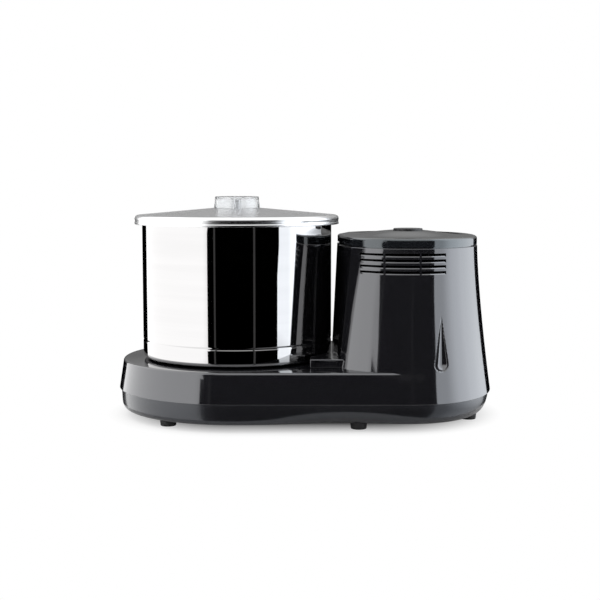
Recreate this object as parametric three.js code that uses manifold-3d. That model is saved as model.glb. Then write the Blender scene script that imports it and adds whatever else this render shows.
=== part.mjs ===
// Table-top wet grinder: a lift-out steel drum beside the tower that holds its motor.
// Millimetres, +Z up, front towards -Y. Every place below is measured from the drum's axis on the ground,
// and the outer group then puts the origin under the middle of the length.
import * as THREE from 'three';
import { mergeVertices } from 'three/addons/utils/BufferGeometryUtils.js';
import Module from 'manifold-3d';

const wasm = await Module();
wasm.setup();

// Clearances and helpers' sizes
const fitGap = 0.3; // between pieces that touch
const runGap = 0.5; // between a turning piece and a fixed one
const cutOver = 1; // how far a cut runs past the face that it opens
const mergeTolerance = 1e-4;

// Heights
const footHeight = 9;
const trayHeight = 23;
const deckRise = 34; // from the seam to the deck
const towerRise = 132; // from the deck to the seam of the cap
const drumLift = 1.5; // between the deck and the drum
const seamZ = footHeight + trayHeight;
const deckZ = seamZ + deckRise;
const towerTopZ = deckZ + towerRise;
const drumZ = deckZ + drumLift;

// Plan of base and tower
const drumRadius = 110;
const deckMargin = 28; // the base's round end reaches past the drum by this
const towerLength = 157.8; // along X at the top, on the centre line
const towerTopHalfDepth = 112;
const towerTopGap = 10.7; // between drum and tower at the top
const towerLowGap = 3; // the same, carried down to the seam
const cornerTopGap = 21; // from the drum's side to the tower's front corner, at the top
const cornerLowGap = 3; // the same at the seam
const towerSpread = 16.6; // how much further the right end reaches at the seam than at the top
const lobeTopHalf = 83.6; // half length of the tower's round part at the top
const lobeGrowth = 21.4; // how much longer that half is at the seam
const cheekHalf = 26; // half width of the hollow side that faces the drum
const lobePower = 2.2; // 2 is an ellipse, more is squarer
const reachPower = 1.4; // how late the right end flares
const baseRadius = drumRadius + deckMargin;
const towerTopReach = drumRadius + towerTopGap + towerLength;
const baseReach = towerTopReach + towerSpread;
const capCentreX = (drumRadius + towerTopGap + towerTopReach) / 2;
const drumHeight = 163;
const rimZ = drumZ + drumHeight; // top of the drum's rolled rim

// Counts
const lobeSteps = 18; // round the right end, front to rear
const tailSteps = 3; // from the widest place to each front or rear corner
const hollowSteps = 4; // across the side that faces the drum
const arcSteps = 20; // round the base's left end
const towerSteps = 4; // levels up the tower
const ringSides = 44; // large rings
const midSides = 28; // rings between large and middling
const beltSides = 20; // the large pulley and the rollers
const roundSides = 16; // middling ones
const smallSides = 10; // small ones
const roundSteps = 2; // across a rounded edge

// Finishes
function finish(color, roughness, metalness) {
  return new THREE.MeshStandardMaterial({ color, roughness, metalness });
}
const glossBlack = () => finish(0x0d0d0f, 0.12, 0);
const charcoal = () => finish(0x2c2b30, 0.3, 0);
const mirrorSteel = () => finish(0xd8dadd, 0.06, 1);
const plainSteel = () => finish(0x9a9c9f, 0.35, 1);
const blackRubber = () => finish(0x141414, 0.85, 0);
const blackPlastic = () => finish(0x1b1b1d, 0.45, 0);
const castAluminium = () => finish(0xa9abad, 0.5, 1);
const granite = () => finish(0x55565a, 0.8, 0);
const copper = () => finish(0xb06a3a, 0.4, 1);
const clearPlastic = () => {
  const material = finish(0xe8ecee, 0.05, 0);
  material.transparent = true;
  material.opacity = 0.35;
  return material;
};

// Solids: a closed geometry becomes one that can be joined and cut
function solid(geometry) {
  const bare = geometry.clone();
  bare.deleteAttribute('normal');
  bare.deleteAttribute('uv');
  const merged = mergeVertices(bare, mergeTolerance);
  const corners = merged.index.array;
  const kept = [];
  for (let i = 0; i < corners.length; i += 3) {
    const [a, b, c] = [corners[i], corners[i + 1], corners[i + 2]];
    if (a !== b && b !== c && c !== a) kept.push(a, b, c);
  }
  const make = (faces) => new wasm.Manifold(new wasm.Mesh({
    numProp: 3,
    vertProperties: merged.attributes.position.array,
    triVerts: new Uint32Array(faces),
  }));
  const body = make(kept);
  return body.volume() < 0 ? make(kept.reverse()) : body;
}

function geometryOf(body) {
  const mesh = body.getMesh();
  const geometry = new THREE.BufferGeometry();
  geometry.setAttribute('position', new THREE.BufferAttribute(mesh.vertProperties, 3));
  geometry.setIndex(new THREE.BufferAttribute(mesh.triVerts, 1));
  const flat = geometry.toNonIndexed();
  flat.computeVertexNormals();
  return flat;
}

function joined(bodies) {
  return bodies.reduce((sum, body) => sum.add(body));
}

function cut(body, tools) {
  return tools.length ? body.subtract(joined(tools)) : body;
}

// Turned shape about +Z from pairs of radius and height, on the axis at both ends or closed on itself
function turned(pairs, sides) {
  const points = pairs.map(([r, z]) => new THREE.Vector2(r, z));
  if (THREE.ShapeUtils.isClockWise(points)) points.reverse();
  if (points[0].x > 0 || points[points.length - 1].x > 0) points.push(points[0].clone());
  return new THREE.LatheGeometry(points, sides).rotateX(Math.PI / 2);
}

function disc(radius, low, high, sides) {
  return turned([[0, low], [radius, low], [radius, high], [0, high]], sides);
}

function tube(inner, outer, low, high, sides) {
  return turned([[inner, low], [outer, low], [outer, high], [inner, high]], sides);
}

function block(x0, x1, y0, y1, z0, z1) {
  const geometry = new THREE.BoxGeometry(x1 - x0, y1 - y0, z1 - z0);
  return geometry.translate((x0 + x1) / 2, (y0 + y1) / 2, (z0 + z1) / 2);
}

// Quarter-round stretch of a profile, about a centre, between two angles in quarter turns
function arcPairs(centreR, centreZ, radius, from, to, steps) {
  const pairs = [];
  for (let i = 0; i <= steps; i++) {
    const angle = (from + (to - from) * i / steps) * Math.PI / 2;
    pairs.push([centreR + radius * Math.cos(angle), centreZ + radius * Math.sin(angle)]);
  }
  return pairs;
}

// Skin between closed rings of as many points each, counter-clockwise from above, with flat ends
function loft(rings) {
  const count = rings[0].points.length;
  const positions = [];
  const index = [];
  for (const ring of rings) {
    for (const point of ring.points) positions.push(point.x, point.y, ring.z);
  }
  for (let level = 0; level + 1 < rings.length; level++) {
    for (let i = 0; i < count; i++) {
      const a = level * count + i;
      const b = level * count + (i + 1) % count;
      index.push(a, b, b + count, a, b + count, a + count);
    }
  }
  const last = (rings.length - 1) * count;
  const lowFaces = THREE.ShapeUtils.triangulateShape(rings[0].points, []);
  const highFaces = THREE.ShapeUtils.triangulateShape(rings[rings.length - 1].points, []);
  for (const [a, b, c] of lowFaces) index.push(a, c, b);
  for (const [a, b, c] of highFaces) index.push(last + a, last + b, last + c);
  const geometry = new THREE.BufferGeometry();
  geometry.setAttribute('position', new THREE.Float32BufferAttribute(positions, 3));
  geometry.setIndex(index);
  return geometry;
}

// Sizes of base and tower at a height, drawn in by an inset
function sizesAt(z, inset) {
  const share = (towerTopZ - z) / (towerTopZ - seamZ);
  const flareShare = Math.max(share, 0) ** reachPower;
  const half = lobeTopHalf + lobeGrowth * share;
  const reach = towerTopReach + towerSpread * flareShare;
  const depth = towerTopHalfDepth + (baseRadius - towerTopHalfDepth) * share;
  return {
    centre: reach - half,
    half: half - inset,
    depth: depth - inset,
    hollow: drumRadius + towerTopGap + (towerLowGap - towerTopGap) * share + inset,
    corner: drumRadius + cornerTopGap + (cornerLowGap - cornerTopGap) * share + inset,
  };
}

function lobePoint(sizes, angle) {
  const c = Math.cos(angle);
  const s = Math.sin(angle);
  const x = sizes.centre + sizes.half * Math.sign(c) * Math.abs(c) ** (2 / lobePower);
  return new THREE.Vector2(x, sizes.depth * Math.sign(s) * Math.abs(s) ** (2 / lobePower));
}

// How far the tower's front stands out from the centre line at a place along its length
function frontDepth(z, x, inset) {
  const sizes = sizesAt(z, inset);
  const across = Math.abs((x - sizes.centre) / sizes.half);
  return sizes.depth * (1 - across ** lobePower) ** (1 / lobePower);
}

function lobePoints(sizes) {
  const points = [];
  for (let i = 0; i <= lobeSteps; i++) {
    points.push(lobePoint(sizes, (i / lobeSteps - 1 / 2) * Math.PI));
  }
  return points;
}

function baseOutline(z, inset) {
  const sizes = sizesAt(z, inset);
  const points = lobePoints(sizes);
  for (let i = 0; i <= arcSteps; i++) {
    const angle = (1 / 2 + i / arcSteps) * Math.PI;
    points.push(new THREE.Vector2(sizes.depth * Math.cos(angle), sizes.depth * Math.sin(angle)));
  }
  return points;
}

function towerOutline(z, inset) {
  const sizes = sizesAt(z, inset);
  const cornerCos = ((sizes.centre - sizes.corner) / sizes.half) ** (lobePower / 2);
  const cornerAngle = Math.PI - Math.acos(cornerCos);
  const tail = [];
  for (let i = 1; i <= tailSteps; i++) {
    tail.push(lobePoint(sizes, Math.PI / 2 + (cornerAngle - Math.PI / 2) * i / tailSteps));
  }
  const mirrored = tail.map((point) => new THREE.Vector2(point.x, -point.y)).reverse();
  const points = [...mirrored, ...lobePoints(sizes), ...tail];
  const hollowAngle = Math.asin(cheekHalf / sizes.hollow);
  for (let i = 0; i <= hollowSteps; i++) {
    const angle = hollowAngle * (1 - 2 * i / hollowSteps);
    points.push(new THREE.Vector2(sizes.hollow * Math.cos(angle), sizes.hollow * Math.sin(angle)));
  }
  return points;
}

function levels(low, high, steps) {
  return Array.from({ length: steps + 1 }, (_, i) => low + (high - low) * i / steps);
}

// Upper housing: deck and tower in one moulding
const housingWall = 2.8;
const deckEdge = 2.4; // rounding of the deck's edge
const deckEdgeSteps = 2;
const collarHeight = 1.2; // keeps water on the deck out of the hub's opening
const collarWall = 3;
const hubOpening = 18.5;

// Louvres near the tower's top in front, and lower at the rear so that nothing shows through
const louvreCount = 4;
const louvreTop = 6.5; // from the cap's seam to the first slot's middle
const louvrePitch = 6.3;
const louvreSlot = 2.4;
const louvreReach = 95; // from the first slot's left end to its right end
const louvreInset = 7; // from the tower's corner to the left ends
const louvreRib = 2.2;
const louvreRibShares = [0.28, 0.69];
const louvreDepthShare = 0.5; // how far in each cut reaches, against the tower's half depth
const louvreRearDrop = 45;

// Drop-shaped recess low on the tower's front
const recessBack = 52.5; // from the tower's right end at the top
const recessTop = 61; // its tip above the deck
const recessLow = 8; // its round end's centre above the deck
const recessRadius = 7.4;
const recessDepth = 6;
const recessPlace = towerTopReach - recessBack;

function hollowRings(insets, zs, outline) {
  return zs.map((z, i) => ({ z, points: outline(z, Array.isArray(insets) ? insets[i] : insets) }));
}

function outerTower(grow) {
  const zs = levels(deckZ - deckEdge, towerTopZ, towerSteps);
  return solid(loft(hollowRings(-grow, zs, towerOutline)));
}

function louvres() {
  const frontFar = -baseRadius;
  const frontNear = -towerTopHalfDepth * louvreDepthShare;
  const x0 = drumRadius + cornerTopGap + louvreInset;
  const stops = [0, ...louvreRibShares, 1].map((share) => x0 + louvreReach * share);
  const cutters = [];
  for (let row = 0; row < louvreCount; row++) {
    const z = towerTopZ - louvreTop - louvrePitch * row;
    for (let i = 0; i + 1 < stops.length; i++) {
      const from = stops[i] + louvreRib / 2;
      const to = stops[i + 1] - louvreRib / 2;
      const slot = block(from, to, frontFar, frontNear, z - louvreSlot / 2, z + louvreSlot / 2);
      const rear = slot.clone().rotateZ(Math.PI).translate(from + to, 0, -louvreRearDrop);
      cutters.push(solid(slot), solid(rear));
    }
  }
  return cutters;
}

// Cone with a ball at its wide end, sunk in the tower's front skin
function recessCutter() {
  const lowZ = deckZ + recessLow;
  const tipZ = deckZ + recessTop;
  const stand = recessRadius - recessDepth;
  const low = new THREE.Vector3(recessPlace, -frontDepth(lowZ, recessPlace, 0) - stand, lowZ);
  const tip = new THREE.Vector3(recessPlace, -frontDepth(tipZ, recessPlace, 0), tipZ);
  const way = tip.clone().sub(low);
  const cone = new THREE.CylinderGeometry(fitGap, recessRadius, way.length(), smallSides);
  const turn = new THREE.Quaternion().setFromUnitVectors(new THREE.Vector3(0, 1, 0), way.clone().normalize());
  cone.applyQuaternion(turn).translate(...low.clone().add(tip).multiplyScalar(1 / 2).toArray());
  const ball = new THREE.SphereGeometry(recessRadius, smallSides, smallSides / 2).applyQuaternion(turn);
  ball.translate(low.x, low.y, low.z);
  return solid(cone).add(solid(ball));
}

// Wedge inside the skin that closes the recess from behind
function recessBacking() {
  const lowZ = deckZ - housingWall;
  const tipZ = deckZ + recessTop;
  const half = recessRadius + housingWall;
  const back = recessDepth + housingWall;
  const shape = new THREE.Shape();
  shape.moveTo(-frontDepth(lowZ, recessPlace, 0), lowZ);
  shape.lineTo(-frontDepth(lowZ, recessPlace, back), lowZ);
  shape.lineTo(-frontDepth(tipZ, recessPlace, housingWall), tipZ);
  shape.lineTo(-frontDepth(tipZ, recessPlace, 0), tipZ);
  const geometry = new THREE.ExtrudeGeometry(shape, { depth: 2 * half, bevelEnabled: false });
  // the outline's first axis becomes Y and its second Z
  geometry.applyMatrix4(new THREE.Matrix4().makeBasis(
    new THREE.Vector3(0, 1, 0), new THREE.Vector3(0, 0, 1), new THREE.Vector3(1, 0, 0),
  ));
  return solid(geometry.translate(recessPlace - half, 0, 0));
}

function upperHousing() {
  const baseZs = [seamZ, (seamZ + deckZ - deckEdge) / 2, deckZ - deckEdge];
  const baseInsets = [0, 0, 0];
  for (let i = 1; i <= deckEdgeSteps; i++) {
    const angle = i / deckEdgeSteps * Math.PI / 2;
    baseZs.push(deckZ - deckEdge + deckEdge * Math.sin(angle));
    baseInsets.push(deckEdge * (1 - Math.cos(angle)));
  }
  const outer = solid(loft(hollowRings(baseInsets, baseZs, baseOutline))).add(outerTower(0));
  const underDeck = deckZ - housingWall;
  const baseRoom = [seamZ - cutOver, underDeck];
  const towerRoom = levels(underDeck - cutOver, towerTopZ + cutOver, towerSteps / 2);
  const rooms = [
    solid(loft(hollowRings(housingWall, baseRoom, baseOutline))),
    solid(loft(hollowRings(housingWall, towerRoom, towerOutline))),
  ];
  const backing = recessBacking().intersect(outer);
  const collar = solid(disc(hubOpening + collarWall, underDeck, deckZ + collarHeight, roundSides));
  const opening = solid(disc(hubOpening, seamZ, deckZ + collarHeight + cutOver, roundSides));
  return cut(joined([cut(outer, rooms), backing, collar]), [opening, recessCutter(), ...louvres()]);
}

// Tower cap and its round cover disc
const capSeam = 0.8; // shadow gap between tower and cap
const capBand = 9.8;
const capInset = 0.4;
const capEdge = 2.8;
const capWall = 3.2;
const capDome = 6; // how far the middle stands over the band
const capDomePower = 2.5; // more gives a peaked middle and a flat border
const capLip = 4; // reach of the inner lip into the tower
const capLipWall = 2;
const capEdgeShares = [0, 0.5, 1]; // stations round its edge, against a quarter turn
const capDomeShares = [0.85, 0.62, 0.4, 0.25]; // sizes of the dome's rings against the band
const capRoomEdgeShares = [0, 1]; // the room under the dome is plainer
const capRoomDomeShares = [0.62];
const discRadius = 17;
const discHeight = 2.6;
const discSink = 0.6;
const discEdge = 0.8;

// How far the dome stands over the band, at a share of the way out to it
function domeRise(share) {
  return capDome * (1 - share ** 2) ** capDomePower;
}

function scaledRing(z, ring, share) {
  const middle = new THREE.Vector2(capCentreX, 0);
  return { z, points: ring.map((point) => point.clone().sub(middle).multiplyScalar(share).add(middle)) };
}

// Rings of the cap's skin from its foot up over the dome, drawn in by a wall
function capRings(foot, wall, edgeShares, domeShares) {
  const bandTop = towerTopZ + capSeam + capBand - wall;
  const inset = capInset + wall;
  const rings = [{ z: foot, points: towerOutline(towerTopZ, inset) }];
  for (const share of edgeShares) {
    const angle = share * Math.PI / 2;
    rings.push({
      z: bandTop - capEdge * (1 - Math.sin(angle)),
      points: towerOutline(towerTopZ, inset + capEdge * (1 - Math.cos(angle))),
    });
  }
  const rim = rings[rings.length - 1].points;
  for (const share of domeShares) {
    rings.push(scaledRing(bandTop + domeRise(share), rim, share));
  }
  return rings;
}

const capSeatZ = towerTopZ + capSeam + capBand + domeRise(capDomeShares.at(-1));

function towerCap() {
  const foot = towerTopZ + capSeam;
  const lipOutside = housingWall + fitGap;
  const lipZs = [towerTopZ - capLip, foot + capLip];
  const lipRings = (inset) => lipZs.map((z, i) => ({
    z: z + (inset > lipOutside ? (i ? cutOver : -cutOver) : 0),
    points: towerOutline(towerTopZ, inset),
  }));
  const skin = solid(loft(capRings(foot, 0, capEdgeShares, capDomeShares)));
  const room = solid(loft(capRings(foot - cutOver, capWall, capRoomEdgeShares, capRoomDomeShares)));
  const shell = cut(skin, [room]);
  const lip = cut(solid(loft(lipRings(lipOutside))), [solid(loft(lipRings(lipOutside + capLipWall)))]);
  const seat = solid(disc(discRadius + fitGap, capSeatZ - discSink, capSeatZ + cutOver, midSides));
  return cut(shell.add(lip), [seat.translate([capCentreX, 0, 0])]);
}

function capDisc() {
  const low = capSeatZ - discSink + fitGap;
  const high = low + discHeight;
  return turned([
    [0, low], [discRadius, low], [discRadius, high - discEdge], [discRadius - discEdge, high], [0, high],
  ], midSides);
}

// Lower tray
const trayInset = 2.4; // the tray stands back under the housing's edge
const trayWall = 2.6;
const trayFloor = 3;
const trayLip = 3; // reach of the inner lip above the seam
const trayTuckShares = [1, 0.5, 0.13, 0]; // how far each level is drawn in, against the tuck
const trayRiseShares = [0, 0.08, 0.33, 1]; // heights of those levels against the tray's
const trayTuck = 5;
const trayTowerTuck = 6; // more of it under the tower
const trayWaist = 9; // and more again at the waist between drum and tower
const waistDelay = 1.4; // moves the waist towards the tower
const waistPower = 2; // how soon that drawing in fades with height
const waistSteps = 6; // along each straight side
const trayFloorTop = footHeight + trayFloor;
const ribCount = 6;
const ribHeight = 6;
const ribWidth = 2.4;
const bossRadius = 4.5;
const bossBore = 1.6;
const bossCount = 4; // screw bosses round the left end
const ventCount = 5;
const ventWidth = 4;
const ventLength = 46;
const ventPitch = 9;
const cordOpening = 6.5;
const cordBack = 92; // from the drum's right side back to the cord's opening, in the rear wall
const cordRise = 12; // its middle above the tray's bottom
const cordPlace = drumRadius - cordBack;
const cordWallReach = 3; // walls that the opening's cut and the grommet's sleeve pass

// Feet, given for the front half and mirrored
const footTop = 9.5;
const footBottom = 8.6;
const footLeftShares = [-0.53, 0.626]; // of the base's round end
const footMiddlePast = 28; // from the drum's right side
const footMiddleShare = 0.749; // of the base's half width
const footRightBack = 29; // from the base's right end
const footRightShare = 0.345;
const footRows = [
  [baseRadius * footLeftShares[0], baseRadius * footLeftShares[1]],
  [drumRadius + footMiddlePast, baseRadius * footMiddleShare],
  [baseReach - footRightBack, baseRadius * footRightShare],
];

function footPlaces() {
  return footRows.flatMap(([x, y]) => [[x, -y], [x, y]]);
}

function foot() {
  const top = footHeight - fitGap;
  return turned([
    [0, 0], [footBottom, 0], [footTop, top], [0, top],
  ], midSides / 2);
}

// Motor and its mounting
const motorX = capCentreX;
const motorWidth = 90; // square lamination
const stackHeight = 50;
const postAcross = 38; // mounting posts from the motor's axis, along X
const postDepth = 52; // and along Y
const postRadius = 8;
const postTop = 48;
const mountHeight = 8;
const mountRadius = 8;
const bracketThick = 3;
const bracketPlay = 4; // round the bearing's seat
const shieldHeight = 20;
const shieldWall = 2.5;
const shaftRadius = 5;
const bearingWidth = 9;

function postPlaces() {
  return [[-1, -1], [1, -1], [-1, 1], [1, 1]].map(([i, j]) => [motorX + i * postAcross, j * postDepth]);
}

// Fixed spindle and its flange
const spindleRadius = 7.5;
const flangeRadius = 32;
const flangeThick = 5;
const flangeBoss = 11;
const flangeBossRise = 4;
const spindleZ = trayFloorTop + fitGap;

// How far a place along a straight side is drawn in, from 0 at the drum's axis to 1 at the tower's centre
function waistDraw(along) {
  const towards = THREE.MathUtils.smoothstep(along, 0, 1);
  return trayTowerTuck * towards + trayWaist * Math.sin(Math.PI * along ** waistDelay) ** 2;
}

// The tray's outline, from the housing's sizes at a height and for a share of the tray's own height
function trayOutline(z, rise, inset) {
  const draw = (1 - rise) ** waistPower;
  const drawn = sizesAt(z, inset + trayTowerTuck * draw);
  const full = sizesAt(z, inset);
  const points = lobePoints(drawn);
  const sides = levels(0, 1, waistSteps).slice(1, -1).map((along) => (
    new THREE.Vector2(full.centre * along, full.depth - waistDraw(along) * draw)
  ));
  points.push(...sides.toReversed());
  for (let i = 0; i <= arcSteps; i++) {
    const angle = (1 / 2 + i / arcSteps) * Math.PI;
    points.push(new THREE.Vector2(full.depth * Math.cos(angle), full.depth * Math.sin(angle)));
  }
  points.push(...sides.map((point) => new THREE.Vector2(point.x, -point.y)));
  return points;
}

function lowerTray() {
  const height = trayHeight - fitGap;
  const lipTop = seamZ + trayLip;
  const outerRings = trayRiseShares.map((rise, i) => ({
    z: footHeight + height * rise,
    points: trayOutline(seamZ, rise, trayInset + trayTuck * trayTuckShares[i]),
  }));
  const room = [
    {
      z: trayFloorTop,
      points: trayOutline(seamZ, trayFloor / height, trayInset + trayWall + trayTuck * trayTuckShares[1]),
    },
    { z: footHeight + height / 2, points: trayOutline(seamZ, 1 / 2, trayInset + trayWall) },
    { z: lipTop + cutOver, points: trayOutline(seamZ, 1, trayInset + trayWall) },
  ];
  const lip = [
    { z: footHeight + height / 2, points: trayOutline(lipTop, 1 / 2, trayInset + trayWall / 2) },
    { z: lipTop, points: trayOutline(lipTop, 1, housingWall + fitGap) },
  ];
  const shell = cut(solid(loft(outerRings)).add(solid(loft(lip))), [solid(loft(room))]);
  const floorLow = footHeight + trayFloor / 2;
  const added = postPlaces().map(([x, y]) => (
    solid(disc(postRadius, floorLow, postTop, smallSides)).translate([x, y, 0])
  ));
  for (let i = 0; i < ribCount; i++) {
    const ribEnd = baseRadius - trayInset - trayWall / 2 - trayTuck;
    const rib = block(flangeRadius + runGap, ribEnd, -ribWidth / 2, ribWidth / 2, floorLow,
      trayFloorTop + ribHeight);
    added.push(solid(rib.rotateZ((i + 1 / 2) / ribCount * 2 * Math.PI)));
  }
  for (const [x, y] of bossPlaces()) {
    added.push(solid(disc(bossRadius, floorLow, seamZ, smallSides)).translate([x, y, 0]));
  }
  const taken = bossPlaces().map(([x, y]) => (
    solid(disc(bossBore, footHeight - cutOver, seamZ + cutOver, smallSides)).translate([x, y, 0])
  ));
  for (let i = 0; i < ventCount; i++) {
    const y = (i - (ventCount - 1) / 2) * ventPitch;
    taken.push(solid(block(motorX - ventLength / 2, motorX + ventLength / 2,
      y - ventWidth / 2, y + ventWidth / 2, footHeight - cutOver, trayFloorTop + cutOver)));
  }
  taken.push(cordCutter());
  return cut(joined([shell, ...added]), taken);
}

function bossPlaces() {
  const places = [];
  const radius = baseRadius - trayInset - trayWall - trayTuck - bossRadius;
  for (let i = 0; i < bossCount; i++) {
    const angle = (1 / 2 + (i + 1 / 2) / bossCount) * Math.PI;
    places.push([radius * Math.cos(angle), radius * Math.sin(angle)]);
  }
  return places;
}

function cordCutter() {
  const z = footHeight + cordRise;
  const bore = new THREE.CylinderGeometry(cordOpening, cordOpening, 2 * cordWallReach * trayWall, smallSides);
  return solid(bore).translate([cordPlace, baseRadius - trayInset, z]);
}

const grommetBore = 3.4;
const grommetFlange = 9;
const grommetFlangeThick = 1.4;

function cordGrommet() {
  const outside = baseRadius - trayInset;
  const inner = cordOpening - 2 * fitGap;
  const back = -cordWallReach * trayWall;
  const profile = [
    [grommetBore, back], [inner, back], [inner, fitGap], [grommetFlange, fitGap],
    [grommetFlange, grommetFlangeThick + fitGap], [grommetBore, grommetFlangeThick + fitGap],
  ];
  const sleeve = turned(profile, smallSides).rotateX(-Math.PI / 2);
  return sleeve.translate(cordPlace, outside, footHeight + cordRise);
}

// Switch housing on the deck, between drum and tower, and its rocker
const switchBack = 25.6; // its left side, back from the drum's right side
const switchPast = 5; // its right side, past the tower's corner
const switchProud = 3.3; // how far it stands out in front of that corner
const switchDepth = 51;
const switchHeight = 9.7;
const switchEdge = 1.8;
const switchDrumGap = 4;
const rockerWidth = 25;
const rockerHeight = 5.8;
const rockerThick = 3;
const rockerCrown = 1.1; // how far its middle stands over its ends
const rockerTilt = 5; // degrees to each side
const rockerRoom = 7;
const rockerMidZ = deckZ + fitGap + switchHeight / 2;
const rockerInset = 18; // from the block's left side to the rocker's middle
const towerCorner = sizesAt(deckZ, 0).corner;
const switchLeft = drumRadius - switchBack;
const switchRight = towerCorner + switchPast;
const switchFront = frontDepth(deckZ, towerCorner, 0) + switchProud;
const rockerMidX = switchLeft + rockerInset;

function switchHousing() {
  const low = deckZ + fitGap;
  const high = low + switchHeight;
  const shape = new THREE.Shape();
  shape.moveTo(switchLeft, low);
  shape.lineTo(switchRight, low);
  shape.lineTo(switchRight, high - switchEdge);
  shape.absarc(switchRight - switchEdge, high - switchEdge, switchEdge, 0, Math.PI / 2);
  shape.absarc(switchLeft + switchEdge, high - switchEdge, switchEdge, Math.PI / 2, Math.PI);
  const settings = { depth: switchDepth, bevelEnabled: false, curveSegments: roundSteps };
  const geometry = new THREE.ExtrudeGeometry(shape, settings);
  geometry.rotateX(Math.PI / 2).translate(0, -switchFront + switchDepth, 0);
  const body = solid(geometry);
  const drumSide = solid(disc(drumRadius + switchDrumGap, low - cutOver, high + cutOver, ringSides));
  const halfWidth = rockerWidth / 2 + fitGap;
  const halfHeight = rockerHeight / 2 + fitGap;
  const pocket = solid(block(rockerMidX - halfWidth, rockerMidX + halfWidth, -switchFront - cutOver,
    -switchFront + rockerRoom, rockerMidZ - halfHeight, rockerMidZ + halfHeight));
  return cut(body, [drumSide, outerTower(fitGap), pocket]);
}

// Local frame: the pivot at the origin, the pressed face towards -Y
function rockerKey() {
  const half = rockerWidth / 2 - fitGap;
  const shape = new THREE.Shape();
  shape.moveTo(-half, -rockerThick / 2);
  shape.lineTo(0, -rockerThick / 2 - rockerCrown);
  shape.lineTo(half, -rockerThick / 2);
  shape.lineTo(half, rockerThick / 2);
  shape.lineTo(-half, rockerThick / 2);
  const geometry = new THREE.ExtrudeGeometry(shape, { depth: rockerHeight, bevelEnabled: false });
  return geometry.translate(0, 0, -rockerHeight / 2);
}

// Drum: sheet steel with a bead, a rounded foot and a rolled rim
const sheet = 1;
const drumFootRadius = 5;
const drumOpening = 36; // in the drum's floor, for the driven socket
const beadRise = 20.5; // from the drum's foot to its bead
const beadWidth = 2.2;
const beadDepth = 0.9;
const rimRoll = 2.1;
const rimRollShare = 0.6; // of a quarter turn, how far the roll closes underneath

function drumShell() {
  const outside = [[drumOpening, drumZ]];
  const footCentre = drumRadius - drumFootRadius;
  outside.push(...arcPairs(footCentre, drumZ + drumFootRadius, drumFootRadius, -1, 0, roundSteps));
  const beadZ = drumZ + beadRise;
  outside.push([drumRadius, beadZ - beadWidth], [drumRadius - beadDepth, beadZ], [drumRadius, beadZ + beadWidth]);
  const rollR = drumRadius - sheet + rimRoll;
  const rollZ = rimZ - rimRoll;
  outside.push([drumRadius, rollZ - rimRoll]);
  outside.push(...arcPairs(rollR, rollZ, rimRoll, -rimRollShare, 2, 2 * roundSteps));
  const inner = drumRadius - sheet;
  const inside = [[inner, beadZ + beadWidth], [inner - beadDepth, beadZ], [inner, beadZ - beadWidth]];
  const innerFoot = drumFootRadius - sheet;
  const foot = arcPairs(inner - innerFoot, drumZ + drumFootRadius, innerFoot, 0, -1, roundSteps);
  return turned([...outside, ...inside, ...foot, [drumOpening, drumZ + sheet]], ringSides);
}

// Hub: the belt pulley, the coupler above it and the ring that throws water off
const hubRadius = 22;
const hubBore = 16.3;
const pulleyRadius = 81;
const pulleyWidth = 14;
const pulleyRim = 6;
const pulleyWeb = 4;
const pulleyCrown = 0.7; // keeps the flat belt in the middle
const pulleyFlange = 1.6; // on the motor's pulley
const pulleyRise = 15; // over the tray's floor
const pulleyZ = trayFloorTop + pulleyRise;
const pulleyHoles = 6;
const pulleyHoleRadius = 13;
const bearingLowZ = spindleZ + flangeThick + flangeBossRise + fitGap;
const hubZ = bearingLowZ;
const hubDrop = 3; // from the deck's underside to the pulley's hub
const hubTopZ = deckZ - housingWall - hubDrop;
const neckRadius = hubOpening - 2;
const couplerFlange = 2;
const slingerRadius = 25;
const slingerThick = 1.6;
const slingerDrip = 0.4; // its edge turns down by this
const slingerZ = deckZ + collarHeight + slingerDrip + runGap;
const hexFlat = 20; // centre to flat
const hexHeight = 9;
const hexZ = slingerZ + slingerThick + fitGap;
const hexTop = hexZ + hexHeight;
const hexSides = 6;
const hexCorner = 1 / Math.cos(Math.PI / hexSides);
const hexTurn = 180 / hexSides; // degrees, so that flats face the ends

function drumPulley() {
  const mid = pulleyZ + pulleyWidth / 2;
  const top = pulleyZ + pulleyWidth;
  const rimInside = pulleyRadius - pulleyRim;
  const body = solid(turned([
    [hubBore, hubZ], [hubRadius, hubZ], [hubRadius, mid - pulleyWeb / 2],
    [rimInside, mid - pulleyWeb / 2], [rimInside, pulleyZ], [pulleyRadius - pulleyCrown, pulleyZ],
    [pulleyRadius, mid], [pulleyRadius - pulleyCrown, top], [rimInside, top],
    [rimInside, mid + pulleyWeb / 2], [hubRadius, mid + pulleyWeb / 2], [hubRadius, hubTopZ],
    [hubBore, hubTopZ],
  ], beltSides));
  const holes = [];
  const holeCircle = (hubRadius + rimInside) / 2;
  for (let i = 0; i < pulleyHoles; i++) {
    const angle = i / pulleyHoles * 2 * Math.PI;
    const hole = solid(disc(pulleyHoleRadius, pulleyZ, top, smallSides));
    holes.push(hole.translate([holeCircle * Math.cos(angle), holeCircle * Math.sin(angle), 0]));
  }
  return cut(body, holes);
}

function driveCoupler() {
  const bore = spindleRadius + 2 * runGap;
  const low = hubTopZ + fitGap;
  const neck = solid(turned([
    [bore, low], [hubRadius - runGap, low], [hubRadius - runGap, low + couplerFlange],
    [neckRadius, low + couplerFlange], [neckRadius, hexZ + cutOver], [bore, hexZ + cutOver],
  ], roundSides));
  const hex = solid(tube(bore, hexFlat * hexCorner, hexZ, hexTop, hexSides)).rotate([0, 0, hexTurn]);
  return cut(neck.add(hex), [solid(disc(bore, low - cutOver, hexTop + cutOver, roundSides))]);
}

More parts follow.
